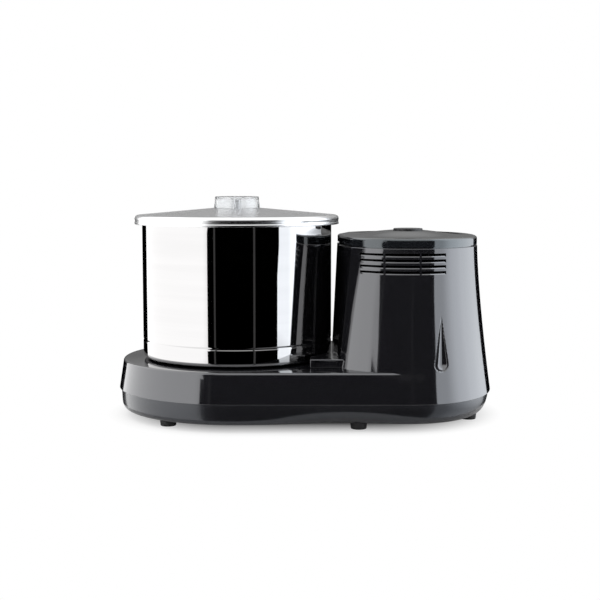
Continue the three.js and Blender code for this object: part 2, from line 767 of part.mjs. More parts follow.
function slingerRing() {
  const inner = neckRadius + fitGap;
  return turned([
    [inner, slingerZ], [slingerRadius - slingerThick, slingerZ], [slingerRadius, slingerZ - slingerDrip],
    [slingerRadius, slingerZ + slingerThick / 2], [slingerRadius - slingerThick, slingerZ + slingerThick],
    [inner, slingerZ + slingerThick],
  ], roundSides);
}

// Driven socket, stone floor and centre tube of the drum
const socketRadius = drumOpening - fitGap;
const socketRoof = 3.5;
const socketZ = drumZ + sheet / 2;
const socketPocketZ = hexZ - fitGap;
const socketRoofZ = hexTop + fitGap;
const socketTop = socketRoofZ + socketRoof;
const tubeOutside = 14;
const tubeWall = 1.6;
const tubeTopRise = 86; // over the stone's face
const stoneZ = drumZ + sheet + fitGap;
const stoneCover = 7.7; // of stone over the socket
const stoneTop = socketTop + fitGap + stoneCover;
const stoneRadius = drumRadius - sheet - beadDepth - 2 * fitGap;

function driveSocket() {
  const tubeBore = tubeOutside + fitGap;
  const body = solid(turned([[0, socketZ], [socketRadius, socketZ], [socketRadius, socketTop], [0, socketTop]],
    roundSides));
  const mouth = solid(disc(slingerRadius + 2 * runGap, socketZ - cutOver, socketPocketZ, roundSides));
  const hex = solid(disc((hexFlat + fitGap) * hexCorner, socketPocketZ - cutOver, socketRoofZ, hexSides));
  const bore = solid(disc(tubeBore, socketPocketZ, socketTop + cutOver, roundSides));
  return cut(body, [mouth, hex.rotate([0, 0, hexTurn]), bore]);
}

function baseStone() {
  const bore = tubeOutside + fitGap;
  const edge = sheet;
  const footInset = drumFootRadius - sheet;
  return turned([
    [bore, socketTop + fitGap], [socketRadius + fitGap, socketTop + fitGap], [socketRadius + fitGap, stoneZ],
    [stoneRadius - footInset, stoneZ], [stoneRadius, stoneZ + footInset], [stoneRadius, stoneTop - edge],
    [stoneRadius - edge, stoneTop], [bore, stoneTop],
  ], ringSides);
}

function centreTube() {
  return tube(tubeOutside - tubeWall, tubeOutside, socketRoofZ, stoneTop + tubeTopRise, roundSides);
}

// Fixed spindle with a squared end, its flange and the hub's bearings
const squareHalf = 5;
const squareHeight = 15;
const sleeveTopGap = 2.3; // between the tube's top and the holder's roof
const sleeveRoof = 6;
const sleeveRoofZ = stoneTop + tubeTopRise + sleeveTopGap;
const squareZ = sleeveRoofZ - 1;
const bearingHigh = hubTopZ - runGap - bearingWidth;
const spacerWall = 3.5;

function spindle() {
  const round = solid(disc(spindleRadius, spindleZ, squareZ, roundSides));
  const square = solid(block(-squareHalf, squareHalf, -squareHalf, squareHalf, squareZ - cutOver,
    squareZ + squareHeight));
  return round.add(square);
}

function spindleFlange() {
  const bore = spindleRadius + fitGap;
  const top = spindleZ + flangeThick;
  return turned([
    [bore, spindleZ], [flangeRadius, spindleZ], [flangeRadius, top], [flangeBoss, top],
    [flangeBoss, top + flangeBossRise], [bore, top + flangeBossRise],
  ], roundSides);
}

// Sealed ball bearing as one ring
function bearing(bore, outside) {
  return tube(bore, outside, 0, bearingWidth, roundSides);
}

function bearingSpacer() {
  const low = bearingLowZ + bearingWidth + fitGap;
  return tube(spindleRadius + fitGap, spindleRadius + fitGap + spacerWall, low, bearingHigh - fitGap, roundSides);
}

// Stone holder: a keyed sleeve over the tube, with a boss for each slanted axle
const coneDegrees = 24; // between the stone's face and each axle
const coneAngle = THREE.MathUtils.degToRad(coneDegrees);
const sleeveWall = 4.2;
const sleevePlay = 2.2; // round the drum's tube
const sleeveInside = tubeOutside + sleevePlay;
const sleeveOutside = sleeveInside + sleeveWall;
const sleeveLift = 1.5; // over the stone
const sleeveZ = stoneTop + sleeveLift;
const axleRadius = 4;
const axleBossWall = 2;
const axleBossEnd = 28.4; // from the cones' common tip
const rollerNear = 30;
const rollerFar = 88;
const axleNear = 22;
const bushWall = 3;
const rollerGap = 0.4; // over the stone
const rollerEdge = 1.5;
const nutRadius = 8;
const nutLength = 8;
const nutBoreShare = 0.75; // of its length
const nutSeat = rollerFar + 2 * fitGap;
const gripRadius = 16;
const gripHeight = 27;
const gripWaist = 11;
const gripEdge = 2.2;
const gripShares = [0.17, 0.33, 0.5, 0.8]; // heights of its collar, waist and crown

function alongAxle(geometry, side) {
  return geometry.rotateY(side * (Math.PI / 2 - coneAngle)).translate(0, 0, stoneTop);
}

function carrierSleeve() {
  const roofTop = sleeveRoofZ + sleeveRoof;
  const body = solid(disc(sleeveOutside, sleeveZ, roofTop, roundSides));
  const bossRadiusHere = axleRadius + fitGap + axleBossWall;
  const bosses = [1, -1].map((side) => (
    solid(alongAxle(disc(bossRadiusHere, sleeveInside, axleBossEnd, smallSides), side))
  ));
  const sockets = [1, -1].map((side) => (
    solid(alongAxle(disc(axleRadius + fitGap, axleNear - fitGap, axleBossEnd + cutOver, smallSides), side))
  ));
  const room = solid(disc(sleeveInside, sleeveZ - cutOver, sleeveRoofZ, roundSides));
  const keyHalf = squareHalf + fitGap;
  const key = solid(block(-keyHalf, keyHalf, -keyHalf, keyHalf, sleeveRoofZ - cutOver, roofTop + cutOver));
  const under = solid(disc(sleeveOutside + axleBossEnd, sleeveZ - sleeveOutside, sleeveZ, roundSides));
  return cut(joined([body, ...bosses]), [room, key, under, ...sockets]);
}

function carrierGrip() {
  const low = sleeveRoofZ + sleeveRoof + fitGap;
  const high = low + gripHeight;
  const room = squareZ + squareHeight + 2 * runGap;
  const bore = squareHalf * Math.SQRT2 + runGap;
  const [collar, waistLow, waistHigh, crown] = gripShares.map((share) => low + gripHeight * share);
  return turned([
    [bore, low], [gripRadius, low], [gripRadius, collar], [gripWaist, waistLow], [gripWaist, waistHigh],
    [gripRadius, crown], [gripRadius - gripEdge, high], [0, high], [0, room], [bore, room],
  ], roundSides);
}

// Pieces of one roller, in a frame whose Z runs along the axle from the cones' common tip
function rollerStone() {
  const slope = Math.tan(coneAngle);
  const lift = rollerGap / Math.cos(coneAngle);
  const bore = axleRadius + fitGap + bushWall + fitGap;
  const edge = rollerEdge;
  return turned([
    [bore, rollerNear], [rollerNear * slope - lift - edge / 2, rollerNear],
    [(rollerNear + edge) * slope - lift, rollerNear + edge],
    [(rollerFar - edge) * slope - lift, rollerFar - edge],
    [rollerFar * slope - lift - edge, rollerFar], [bore, rollerFar],
  ], beltSides);
}

function rollerBush() {
  const inner = axleRadius + fitGap;
  return tube(inner, inner + bushWall, rollerNear - runGap, rollerFar + fitGap / 2, smallSides);
}

function axle() {
  return disc(axleRadius, axleNear, nutSeat + nutLength * nutBoreShare, smallSides);
}

function axleNut() {
  const outside = solid(disc(nutRadius, nutSeat, nutSeat + nutLength, hexSides));
  const boreEnd = nutSeat + nutLength * nutBoreShare + fitGap;
  const bore = solid(disc(axleRadius + fitGap, nutSeat - cutOver, boreEnd, smallSides));
  return cut(outside, [bore]);
}

// Scraper: an arm clamped on the sleeve, and its blade at the drum's wall
const armThick = 3;
const armRise = 62; // its collar over the stone's face
const armHeight = 12;
const collarThick = 4;
const armDrop = 12; // width of its hanging leg
const bladeThick = 3.5;
const bladeWallGap = 3;
const bladePast = 8; // how far the blade reaches past its arm
const bladeHeld = 9; // how far it lies along the arm's leg
const bladeLow = 2;
const bladeLength = 58;
const legLow = 6; // the leg's end over the stone
const bladeReach = drumRadius - sheet - bladeWallGap;
const armReach = bladeReach - bladePast;

function wiperArm() {
  const low = stoneTop + armRise;
  const high = low + armHeight;
  const inner = sleeveOutside + fitGap;
  const collar = solid(disc(inner + collarThick, low, high, roundSides));
  const half = armThick / 2;
  const bar = solid(block(-half, half, inner, armReach, low, high));
  const leg = solid(block(-half, half, armReach - armDrop, armReach, stoneTop + legLow, high));
  const bore = solid(disc(inner, low - cutOver, high + cutOver, roundSides));
  return cut(joined([collar, bar, leg]), [bore]);
}

function wiperBlade() {
  const low = stoneTop + bladeLow;
  const near = armThick / 2 + fitGap;
  return block(near, near + bladeThick, armReach - bladeHeld, bladeReach, low, low + bladeLength);
}

// Lid: a shallow steel cone with a rounded shoulder and a rolled hem
const lidOverhang = 5.4; // past the drum's rim
const lidRimHeight = 9.2; // from its hem to the drum's rim
const lidCone = 7.8; // how far the flat top stands over the shoulder
const lidShoulder = 4.2;
const lidFlat = 28;
const lidSheet = 1.1;
const lidBore = 2.3;
const hemHeight = 2;
const hemGroove = 2; // height of the groove over the hem
const hemDepth = 0.8;
const lidRadius = drumRadius - sheet + 2 * rimRoll + lidOverhang;
const lidUnderZ = rimZ + fitGap;
const lidFlatTop = lidUnderZ + lidSheet + lidCone;

function lid() {
  const shoulder = lidRadius - lidShoulder;
  const centreZ = lidUnderZ + lidSheet - lidShoulder;
  const low = rimZ - lidRimHeight;
  const waist = lidRadius - hemDepth;
  const inner = waist - lidSheet;
  const seat = drumRadius - sheet;
  const flatUnder = lidFlatTop - lidSheet;
  return turned([
    [lidBore, lidFlatTop], [lidFlat, lidFlatTop],
    ...arcPairs(shoulder, centreZ, lidShoulder, 1, 0, roundSteps),
    [lidRadius, low + hemHeight + 2 * hemGroove], [waist, low + hemHeight + hemGroove],
    [waist, low + hemHeight + hemGroove / 2], [lidRadius, low + hemHeight], [lidRadius, low],
    [inner, low], [inner, centreZ], [shoulder - lidSheet / 2, lidUnderZ], [seat, lidUnderZ],
    [lidFlat, flatUnder], [lidBore, flatUnder],
  ], ringSides);
}

// Clear cup-shaped knob, with its screw and washer
const knobFoot = 26.5;
const knobTop = 25.3;
const knobHeight = 13;
const knobWall = 1.7;
const knobRoof = 2.4;
const knobEdge = 0.9;
const knobBoss = 6;
const screwRadius = 2;
const screwHead = 4.2;
const screwHeadHeight = 2.6;
const washerRadius = 8;
const washerThick = 1.2;

function lidKnob() {
  const low = lidFlatTop + fitGap;
  const high = low + knobHeight;
  const roof = high - knobRoof;
  const bore = screwRadius + fitGap;
  return turned([
    [knobFoot, low], [knobTop, high - knobEdge], [knobTop - knobEdge, high], [0, high],
    [0, roof], [bore, roof], [bore, low], [knobBoss, low], [knobBoss, roof],
    [knobTop - knobWall, roof], [knobFoot - knobWall, low],
  ], midSides);
}

function knobScrew() {
  const under = lidFlatTop - lidSheet - washerThick - 2 * fitGap;
  return turned([
    [0, under - screwHeadHeight], [screwHead, under - screwHeadHeight], [screwHead, under],
    [screwRadius, under], [screwRadius, lidFlatTop + knobHeight - knobRoof - runGap],
    [0, lidFlatTop + knobHeight - knobRoof - runGap],
  ], smallSides);
}

function knobWasher() {
  const high = lidFlatTop - lidSheet - fitGap;
  return tube(screwRadius + fitGap, washerRadius, high - washerThick, high, smallSides);
}

// Motor, in a frame on its own axis
const bracketZ = postTop + fitGap + mountHeight + fitGap;
const shieldZ = bracketZ + bracketThick + fitGap;
const stackZ = shieldZ + shieldHeight + fitGap;
const upperShieldZ = stackZ + stackHeight + fitGap;
const shieldStep = 1.5; // inside the stack's sides
const shieldRadius = motorWidth / 2 - shieldStep;
const motorBore = 26.3;
const airGap = 1.3;
const rotorRadius = motorBore - airGap;
const windingStep = 2; // outside the stack's bore
const windingBack = 6; // inside the stack's sides
const windingHeight = 12;
const windingSoft = 2.4;
const windingInside = motorBore + windingStep;
const windingOutside = motorWidth / 2 - windingBack;
const motorBearing = 13;
const motorBearingBore = shaftRadius + fitGap;
const cornerRound = 12;
const fanRadius = 38;
const fanHeight = 12;
const fanRise = 4; // over the upper end shield
const fanZ = upperShieldZ + shieldHeight + fanRise;
const fanHub = 10;
const fanPlate = 2;
const fanBlades = 7;
const motorPulleyRadius = 8.5;

function stadiumSquare(width, round) {
  const half = width / 2;
  const reach = half - round;
  const shape = new THREE.Shape();
  shape.absarc(reach, reach, round, 0, Math.PI / 2);
  shape.absarc(-reach, reach, round, Math.PI / 2, Math.PI);
  shape.absarc(-reach, -reach, round, -Math.PI, -Math.PI / 2);
  shape.absarc(reach, -reach, round, -Math.PI / 2, 0);
  return shape;
}

function statorStack() {
  const shape = stadiumSquare(motorWidth, cornerRound);
  const settings = { depth: stackHeight, bevelEnabled: false, curveSegments: roundSteps };
  const geometry = new THREE.ExtrudeGeometry(shape, settings);
  const body = solid(geometry.translate(0, 0, stackZ));
  return cut(body, [solid(disc(motorBore, stackZ - cutOver, stackZ + stackHeight + cutOver, roundSides))]);
}

function winding(low) {
  const high = low + windingHeight;
  const middle = (low + high) / 2;
  return turned([
    [windingInside, middle], [windingInside + windingSoft, low], [windingOutside - windingSoft, low],
    [windingOutside, middle], [windingOutside - windingSoft, high], [windingInside + windingSoft, high],
  ], roundSides);
}

// Cup over the winding, open towards the stack, with a seat for the shaft's bearing
function endShield() {
  const seat = motorBearing + fitGap;
  const seatTop = bearingWidth + fitGap;
  return turned([
    [seat, 0], [shieldRadius, 0], [shieldRadius, shieldHeight],
    [shieldRadius - shieldWall, shieldHeight], [shieldRadius - shieldWall, shieldWall],
    [seat + shieldWall, shieldWall], [seat + shieldWall, seatTop], [seat, seatTop],
  ], roundSides);
}

function motorBracket() {
  const reachX = postAcross + postRadius;
  const reachY = postDepth + postRadius;
  const low = bracketZ;
  const high = bracketZ + bracketThick;
  const plate = solid(block(-reachX, reachX, -reachY, reachY, low, high));
  const opening = solid(disc(motorBearing + bracketPlay, low - cutOver, high + cutOver, roundSides));
  return cut(plate, [opening]);
}

function rubberMount() {
  const low = postTop + fitGap;
  const high = low + mountHeight;
  const waist = mountRadius - 2 * sheet;
  return turned([
    [0, low], [mountRadius, low], [waist, low + mountHeight / 2], [mountRadius, high], [0, high],
  ], smallSides);
}

function motorShaft() {
  return disc(shaftRadius, pulleyZ - 2 * runGap, fanZ + fanHeight + 2 * runGap, smallSides);
}

function rotorCore() {
  return tube(shaftRadius + fitGap, rotorRadius, stackZ, stackZ + stackHeight, roundSides);
}

function coolingFan() {
  const hub = solid(disc(fanHub, fanZ, fanZ + fanHeight, smallSides));
  const plate = solid(disc(fanRadius, fanZ, fanZ + fanPlate, roundSides));
  const blades = [];
  for (let i = 0; i < fanBlades; i++) {
    const blade = block(fanHub - fanPlate, fanRadius - fanPlate, -fanPlate / 2, fanPlate / 2,
      fanZ + fanPlate / 2, fanZ + fanHeight);
    blades.push(solid(blade.rotateZ(i / fanBlades * 2 * Math.PI)));
  }
  const bore = solid(disc(shaftRadius + fitGap, fanZ - cutOver, fanZ + fanHeight + cutOver, smallSides));
  return cut(joined([hub, plate, ...blades]), [bore]);
}

function motorPulley() {
  const top = pulleyZ + pulleyWidth;
  const flange = motorPulleyRadius + pulleyFlange;
  return turned([
    [shaftRadius + fitGap, pulleyZ], [flange, pulleyZ], [flange, pulleyZ + pulleyFlange],
    [motorPulleyRadius, pulleyZ + 2 * pulleyFlange - fitGap],
    [motorPulleyRadius, top - 2 * pulleyFlange + fitGap], [flange, top - pulleyFlange], [flange, top],
    [shaftRadius + fitGap, top],
  ], smallSides);
}

// Belt round both pulleys
const beltThick = 2.2;
const beltWidth = 6.6;
const beltSteps = 16;

function beltOutline(grow) {
  const big = pulleyRadius + fitGap + grow;
  const small = motorPulleyRadius + fitGap + grow;
  const lean = Math.asin((big - small) / motorX);
  const points = [];
  for (let i = 0; i <= beltSteps; i++) {
    const angle = Math.PI / 2 - lean + (Math.PI + 2 * lean) * i / beltSteps;
    points.push(new THREE.Vector2(big * Math.cos(angle), big * Math.sin(angle)));
  }
  for (let i = 0; i <= beltSteps / 2; i++) {
    const angle = -Math.PI / 2 + lean + (Math.PI - 2 * lean) * i / (beltSteps / 2);
    points.push(new THREE.Vector2(motorX + small * Math.cos(angle), small * Math.sin(angle)));
  }
  return points;
}

function driveBelt() {
  const shape = new THREE.Shape(beltOutline(fitGap + beltThick));
  shape.holes.push(new THREE.Path(beltOutline(fitGap)));
  const geometry = new THREE.ExtrudeGeometry(shape, { depth: beltWidth, bevelEnabled: false });
  return geometry.translate(0, 0, pulleyZ + (pulleyWidth - beltWidth) / 2);
}

// Run capacitor, standing beside the motor
const capacitorRadius = 15;
const capacitorHeight = 44;
const capacitorEdge = 1.9;
const capacitorInset = 48; // from the base's rear to its middle
const capacitorBack = baseRadius - capacitorInset;

function capacitor() {
  const low = trayFloorTop + fitGap;
  const high = low + capacitorHeight;
  return turned([
    [0, low], [capacitorRadius, low], [capacitorRadius, high - capacitorEdge],
    [capacitorRadius - capacitorEdge, high], [0, high],
  ], roundSides);
}

// Assembly
const grinder = new THREE.Group();
const bench = new THREE.Group();
bench.position.x = -(baseReach - baseRadius) / 2;
grinder.add(bench);

function add(parent, name, piece, material) {
  const geometry = piece.isBufferGeometry ? piece : geometryOf(piece);
  const mesh = new THREE.Mesh(geometry, material);
  mesh.name = name;
  parent.add(mesh);
  return mesh;
}

add(bench, 'lower_tray', lowerTray(), charcoal());
add(bench, 'upper_housing', upperHousing(), glossBlack());
add(bench, 'tower_cap', towerCap(), glossBlack());
add(bench, 'cap_disc', capDisc(), glossBlack()).position.x = capCentreX;
add(bench, 'switch_housing', switchHousing(), glossBlack());
footPlaces().forEach(([x, y], i) => {
  add(bench, `foot_${i + 1}`, foot(), blackRubber()).position.set(x, y, 0);
});
add(bench, 'cord_grommet', cordGrommet(), blackRubber());

const rocker = add(bench, 'rocker_key', rockerKey(), blackPlastic());
rocker.position.set(rockerMidX, -switchFront + rockerThick / 2 + rockerCrown + runGap, rockerMidZ);
rocker.rotation.z = -THREE.MathUtils.degToRad(rockerTilt);

add(bench, 'spindle', spindle(), plainSteel());
add(bench, 'spindle_flange', spindleFlange(), castAluminium());
const hubBearing = () => bearing(spindleRadius + fitGap, hubBore - fitGap);
add(bench, 'lower_bearing', hubBearing(), plainSteel()).position.z = bearingLowZ;
add(bench, 'upper_bearing', hubBearing(), plainSteel()).position.z = bearingHigh;
add(bench, 'bearing_spacer', bearingSpacer(), plainSteel());
add(bench, 'drum_pulley', drumPulley(), castAluminium());
add(bench, 'drive_coupler', driveCoupler(), castAluminium());
add(bench, 'slinger_ring', slingerRing(), blackRubber());

add(bench, 'drum_shell', drumShell(), mirrorSteel());
add(bench, 'drive_socket', driveSocket(), castAluminium());
add(bench, 'base_stone', baseStone(), granite());
add(bench, 'centre_tube', centreTube(), mirrorSteel());

add(bench, 'carrier_sleeve', carrierSleeve(), plainSteel());
add(bench, 'carrier_grip', carrierGrip(), blackPlastic());
add(bench, 'wiper_arm', wiperArm(), plainSteel());
add(bench, 'wiper_blade', wiperBlade(), blackPlastic());
[1, -1].forEach((side, i) => {
  const roller = new THREE.Group();
  roller.position.z = stoneTop;
  roller.rotation.y = side * (Math.PI / 2 - coneAngle);
  bench.add(roller);
  add(roller, `roller_stone_${i + 1}`, rollerStone(), granite());
  add(roller, `roller_bush_${i + 1}`, rollerBush(), blackPlastic());
  add(roller, `axle_${i + 1}`, axle(), plainSteel());
  add(roller, `axle_nut_${i + 1}`, axleNut(), plainSteel());
});

add(bench, 'lid', lid(), mirrorSteel());
add(bench, 'lid_knob', lidKnob(), clearPlastic());
add(bench, 'knob_screw', knobScrew(), plainSteel());
add(bench, 'knob_washer', knobWasher(), blackRubber());

const motor = new THREE.Group();
motor.position.x = motorX;
bench.add(motor);
add(motor, 'motor_bracket', motorBracket(), plainSteel());
add(motor, 'stator_stack', statorStack(), plainSteel());
add(motor, 'lower_winding', winding(stackZ - fitGap - windingHeight), copper());
add(motor, 'upper_winding', winding(upperShieldZ), copper());
add(motor, 'lower_end_shield', endShield(), castAluminium()).position.z = shieldZ;
const upperShield = add(motor, 'upper_end_shield', endShield(), castAluminium());
upperShield.rotation.x = Math.PI;
upperShield.position.z = upperShieldZ + shieldHeight;
const shaftBearing = () => bearing(motorBearingBore, motorBearing);
add(motor, 'lower_motor_bearing', shaftBearing(), plainSteel()).position.z = shieldZ + fitGap;
add(motor, 'upper_motor_bearing', shaftBearing(), plainSteel()).position.z = (
  upperShieldZ + shieldHeight - fitGap - bearingWidth
);
add(motor, 'motor_shaft', motorShaft(), plainSteel());
add(motor, 'rotor_core', rotorCore(), plainSteel());
add(motor, 'cooling_fan', coolingFan(), blackPlastic());
add(motor, 'motor_pulley', motorPulley(), castAluminium());
postPlaces().forEach(([x, y], i) => {
  add(bench, `rubber_mount_${i + 1}`, rubberMount(), blackRubber()).position.set(x, y, 0);
});
add(bench, 'drive_belt', driveBelt(), blackRubber());
add(bench, 'capacitor', capacitor(), blackPlastic()).position.set(motorX, capacitorBack, 0);

export default grinder;
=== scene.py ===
import math
import bpy
import bmesh
from mathutils import Matrix, Vector


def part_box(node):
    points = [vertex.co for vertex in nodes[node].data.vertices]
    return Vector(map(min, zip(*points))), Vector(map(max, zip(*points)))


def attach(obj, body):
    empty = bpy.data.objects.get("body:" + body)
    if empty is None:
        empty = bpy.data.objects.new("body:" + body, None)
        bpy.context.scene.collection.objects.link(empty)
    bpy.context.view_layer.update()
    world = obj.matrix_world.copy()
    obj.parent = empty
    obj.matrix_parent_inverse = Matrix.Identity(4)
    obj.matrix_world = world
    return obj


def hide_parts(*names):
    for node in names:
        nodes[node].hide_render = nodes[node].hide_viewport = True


# Table-top wet grinder. Its pieces are in millimetres, measured from the drum's axis on the ground. The
# camera, the materials and the studio are in metres.
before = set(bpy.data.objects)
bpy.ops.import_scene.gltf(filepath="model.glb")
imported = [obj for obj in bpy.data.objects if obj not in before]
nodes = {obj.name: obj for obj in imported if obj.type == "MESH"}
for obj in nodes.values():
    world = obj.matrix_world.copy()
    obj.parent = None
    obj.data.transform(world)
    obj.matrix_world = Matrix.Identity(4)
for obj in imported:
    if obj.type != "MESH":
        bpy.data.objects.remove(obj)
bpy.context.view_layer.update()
scene = bpy.context.scene
toMetres = 0.001
lowCorner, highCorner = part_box("spindle")
benchX = (lowCorner.x + highCorner.x) / 2  # the drum's axis in the frame
print("frame loaded:", len(nodes), "nodes")

# Camera, set to the photograph's height, distance and tilt
cameraSetup = {
    "place": (-0.00505, -1.400, 0.270),
    "tilt": 0.0985,  # radians below level
    "lens": 71.82,
    "sensor": 36.0,
}
cameraData = bpy.data.cameras.new("camera")
cameraData.lens = cameraSetup["lens"]
cameraData.sensor_width = cameraSetup["sensor"]
camera = bpy.data.objects.new("camera", cameraData)
camera.location = cameraSetup["place"]
camera.rotation_euler = (math.pi / 2 - cameraSetup["tilt"], 0, 0)
scene.collection.objects.link(camera)
scene.camera = camera


# Mesh helpers
softAngle = 32  # degrees; edges that turn less are shaded smooth
weldDistance = 1e-7  # metres
nearAxis = 1e-4  # millimetres; a smaller radius lies on the axis
flatCorner = 89.5  # half a corner's angle in degrees, from where on it isn't rounded
edgeShare = 0.49  # the most that one round takes of an edge


def levels(low, high, steps):
    return [low + (high - low) * i / steps for i in range(steps + 1)]


# sine and cosine at even steps of a quarter turn
def quarter(steps):
    angles = [i / steps * math.pi / 2 for i in range(steps + 1)]
    return [(math.sin(angle), math.cos(angle)) for angle in angles]


def onCircle(radius, angles, x=0, y=0):
    return [(x + radius * math.cos(angle), y + radius * math.sin(angle)) for angle in angles]


def newPiece(name, points, faces, material, sharpAngle=softAngle):
    mesh = bpy.data.meshes.new(name)
    mesh.from_pydata([(benchX + x * toMetres, y * toMetres, z * toMetres) for x, y, z in points], [], faces)
    mesh.validate()
    form = bmesh.new()
    form.from_mesh(mesh)
    bmesh.ops.remove_doubles(form, verts=form.verts, dist=weldDistance)
    bmesh.ops.recalc_face_normals(form, faces=form.faces)
    form.to_mesh(mesh)
    form.free()
    piece = bpy.data.objects.new(name, mesh)
    scene.collection.objects.link(piece)
    if material:
        mesh.materials.append(material)
    smoothed(piece, sharpAngle)
    return piece


def smoothed(piece, sharpAngle=softAngle):
    piece.data.shade_smooth()
    piece.data.set_sharp_from_angle(angle=math.radians(sharpAngle))


def placed(piece, body, slotName, *replaced):
    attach(piece, body)
    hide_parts(*replaced)


# corners are (a, b) or (a, b, radius)
def rounded(corners, steps=6):
    line = []
    for i, corner in enumerate(corners):
        here = Vector(corner[:2])
        toBefore = Vector(corners[i - 1][:2]) - here
        toAfter = Vector(corners[(i + 1) % len(corners)][:2]) - here
        half = toBefore.angle(toAfter, 0) / 2
        if len(corner) == 2 or half > math.radians(flatCorner):
            line.append(tuple(here))
            continue
        reach = min(corner[2] / math.tan(half), edgeShare * toBefore.length, edgeShare * toAfter.length)
        radius = reach * math.tan(half)
        before = toBefore.normalized()
        after = toAfter.normalized()
        middle = here + (before + after).normalized() * radius / math.sin(half)
        start = here + before * reach - middle
        end = here + after * reach - middle
        turn = start.angle_signed(end)
        for step in range(steps + 1):
            spoke = start.copy()
            spoke.rotate(Matrix.Rotation(-turn * step / steps, 2))
            line.append(tuple(middle + spoke))
    return line


def turnedMesh(profile, sides, closed):
    angles = levels(0, 2 * math.pi, sides)[:-1]
    points, rows, faces = [], [], []
    for radius, z in profile:
        circle = [(0, 0)] if radius < nearAxis else onCircle(radius, angles)
        rows.append(range(len(points), len(points) + len(circle)))
        points += [(x, y, z) for x, y in circle]
    pairs = list(zip(rows, rows[1:]))
    if closed:
        pairs.append((rows[-1], rows[0]))
    for low, high in pairs:
        if len(low) == 1 and len(high) == 1:
            continue
        for side in range(sides):
            after = (side + 1) % sides
            turns = ((low, side), (low, after), (high, after), (high, side))
            faces.append(list(dict.fromkeys(row[i % len(row)] for row, i in turns)))
    return points, faces


# a turned piece from (radius, height, edge radius) corners, open only on the axis
def turnedPiece(name, corners, material, sides=128, steps=5, at=(0, 0), place=None, sharpAngle=softAngle):
    onAxis = corners[0][0] < nearAxis and corners[-1][0] < nearAxis
    points, faces = turnedMesh(rounded(corners, steps), sides, not onAxis)
    if place:
        points = [tuple(place @ Vector(point)) for point in points]
    points = [(x + at[0], y + at[1], z) for x, y, z in points]
    return newPiece(name, points, faces, material, sharpAngle)


def discPiece(name, radius, low, high, **settings):
    return turnedPiece(name, [(0, low), (radius, low), (radius, high), (0, high)], None, **settings)


# faces that join rings of the same count of points, with both ends closed
def loftFaces(rings, count):
    last = (rings - 1) * count
    faces = [(a + i, a + (i + 1) % count, a + (i + 1) % count + count, a + i + count)
             for a in range(0, last, count) for i in range(count)]
    return faces + [tuple(range(count))[::-1], tuple(range(last, last + count))]


# rings are (z, outline)
def loftedPiece(name, rings, material=None):
    points = [(x, y, z) for z, ring in rings for x, y in ring]
    return newPiece(name, points, loftFaces(len(rings), len(rings[0][1])), material)


def boxPiece(name, x0, x1, y0, y1, z0, z1, material=None):
    points = [(x, y, z) for z in (z0, z1) for y in (y0, y1) for x in (x0, x1)]
    faces = [(0, 2, 3, 1), (4, 5, 7, 6), (0, 1, 5, 4), (2, 6, 7, 3), (0, 4, 6, 2), (1, 3, 7, 5)]
    return newPiece(name, points, faces, material)


def bevelled(piece, width, steps, angle):
    bevel = piece.modifiers.new("edges", "BEVEL")
    bevel.width = width * toMetres
    bevel.segments = steps
    bevel.limit_method = "ANGLE"
    bevel.angle_limit = math.radians(angle)
    settled(piece)


def settled(piece):  # applies the modifiers
    shown = bpy.context.evaluated_depsgraph_get()
    mesh = bpy.data.meshes.new_from_object(piece.evaluated_get(shown))
    old = piece.data
    piece.modifiers.clear()
    piece.data = mesh
    bpy.data.meshes.remove(old)
    smoothed(piece)


def carved(piece, tools, operation="DIFFERENCE"):
    for tool in tools:
        work = piece.modifiers.new("carve", "BOOLEAN")
        work.operation = operation
        work.solver = "MANIFOLD"
        work.object = tool
    settled(piece)
    for tool in tools:
        bpy.data.objects.remove(tool)


# Shared effects as node groups: they put out only values that vary over the surface
effects = {  # noises as (scale, detail, roughness), ranges as (from, to)
    "smudge": (60.0, 5.0, 0.65), "smudgeRange": (0.58, 0.75), "peelDetail": 2.0, "edgeHighlightRange": (0.52, 0.6),
    "fine": (1.0, 4.0, 0.6), "fineShare": 0.7, "broad": (0.12, 2.0, 0.5), "shadeRange": (0.3, 0.7),
    "axisRadius": 0.001, "grainDetail": 6.0, "grainRough": 0.6, "pitShare": 0.6,
}


# sets a number on a socket, or links an output to it
def feed(tree, value, socket):
    if isinstance(value, (int, float)):
        socket.default_value = value
    else:
        tree.links.new(value, socket)


def newGroup(name, inputs):
    group = bpy.data.node_groups.new(name, "ShaderNodeTree")
    for label, value in inputs.items():
        kind = "NodeSocketVector" if isinstance(value, tuple) else "NodeSocketFloat"
        group.interface.new_socket(label, in_out="INPUT", socket_type=kind).default_value = value
    for label in ("Roughness", "Height", "Mask"):
        group.interface.new_socket(label, in_out="OUTPUT", socket_type="NodeSocketFloat")
    return group, group.nodes.new("NodeGroupInput").outputs, group.nodes.new("NodeGroupOutput").inputs


def mathNode(tree, operation, a, b=0.0):
    node = tree.nodes.new("ShaderNodeMath")
    node.operation = operation
    feed(tree, a, node.inputs[0])
    feed(tree, b, node.inputs[1])
    return node.outputs[0]


def times(tree, a, b):
    return mathNode(tree, "MULTIPLY", a, b)


def plus(tree, a, b):
    return mathNode(tree, "ADD", a, b)


# length of (a, b)
def lengthOf(tree, a, b):
    return mathNode(tree, "SQRT", plus(tree, times(tree, a, a), times(tree, b, b)))


def mapped(tree, value, low, high, toLow=0.0, toHigh=1.0, smooth=False):
    node = tree.nodes.new("ShaderNodeMapRange")
    node.interpolation_type = "SMOOTHSTEP" if smooth else "LINEAR"
    for number, socket in zip((value, low, high, toLow, toHigh), node.inputs):
        feed(tree, number, socket)
    return node.outputs[0]


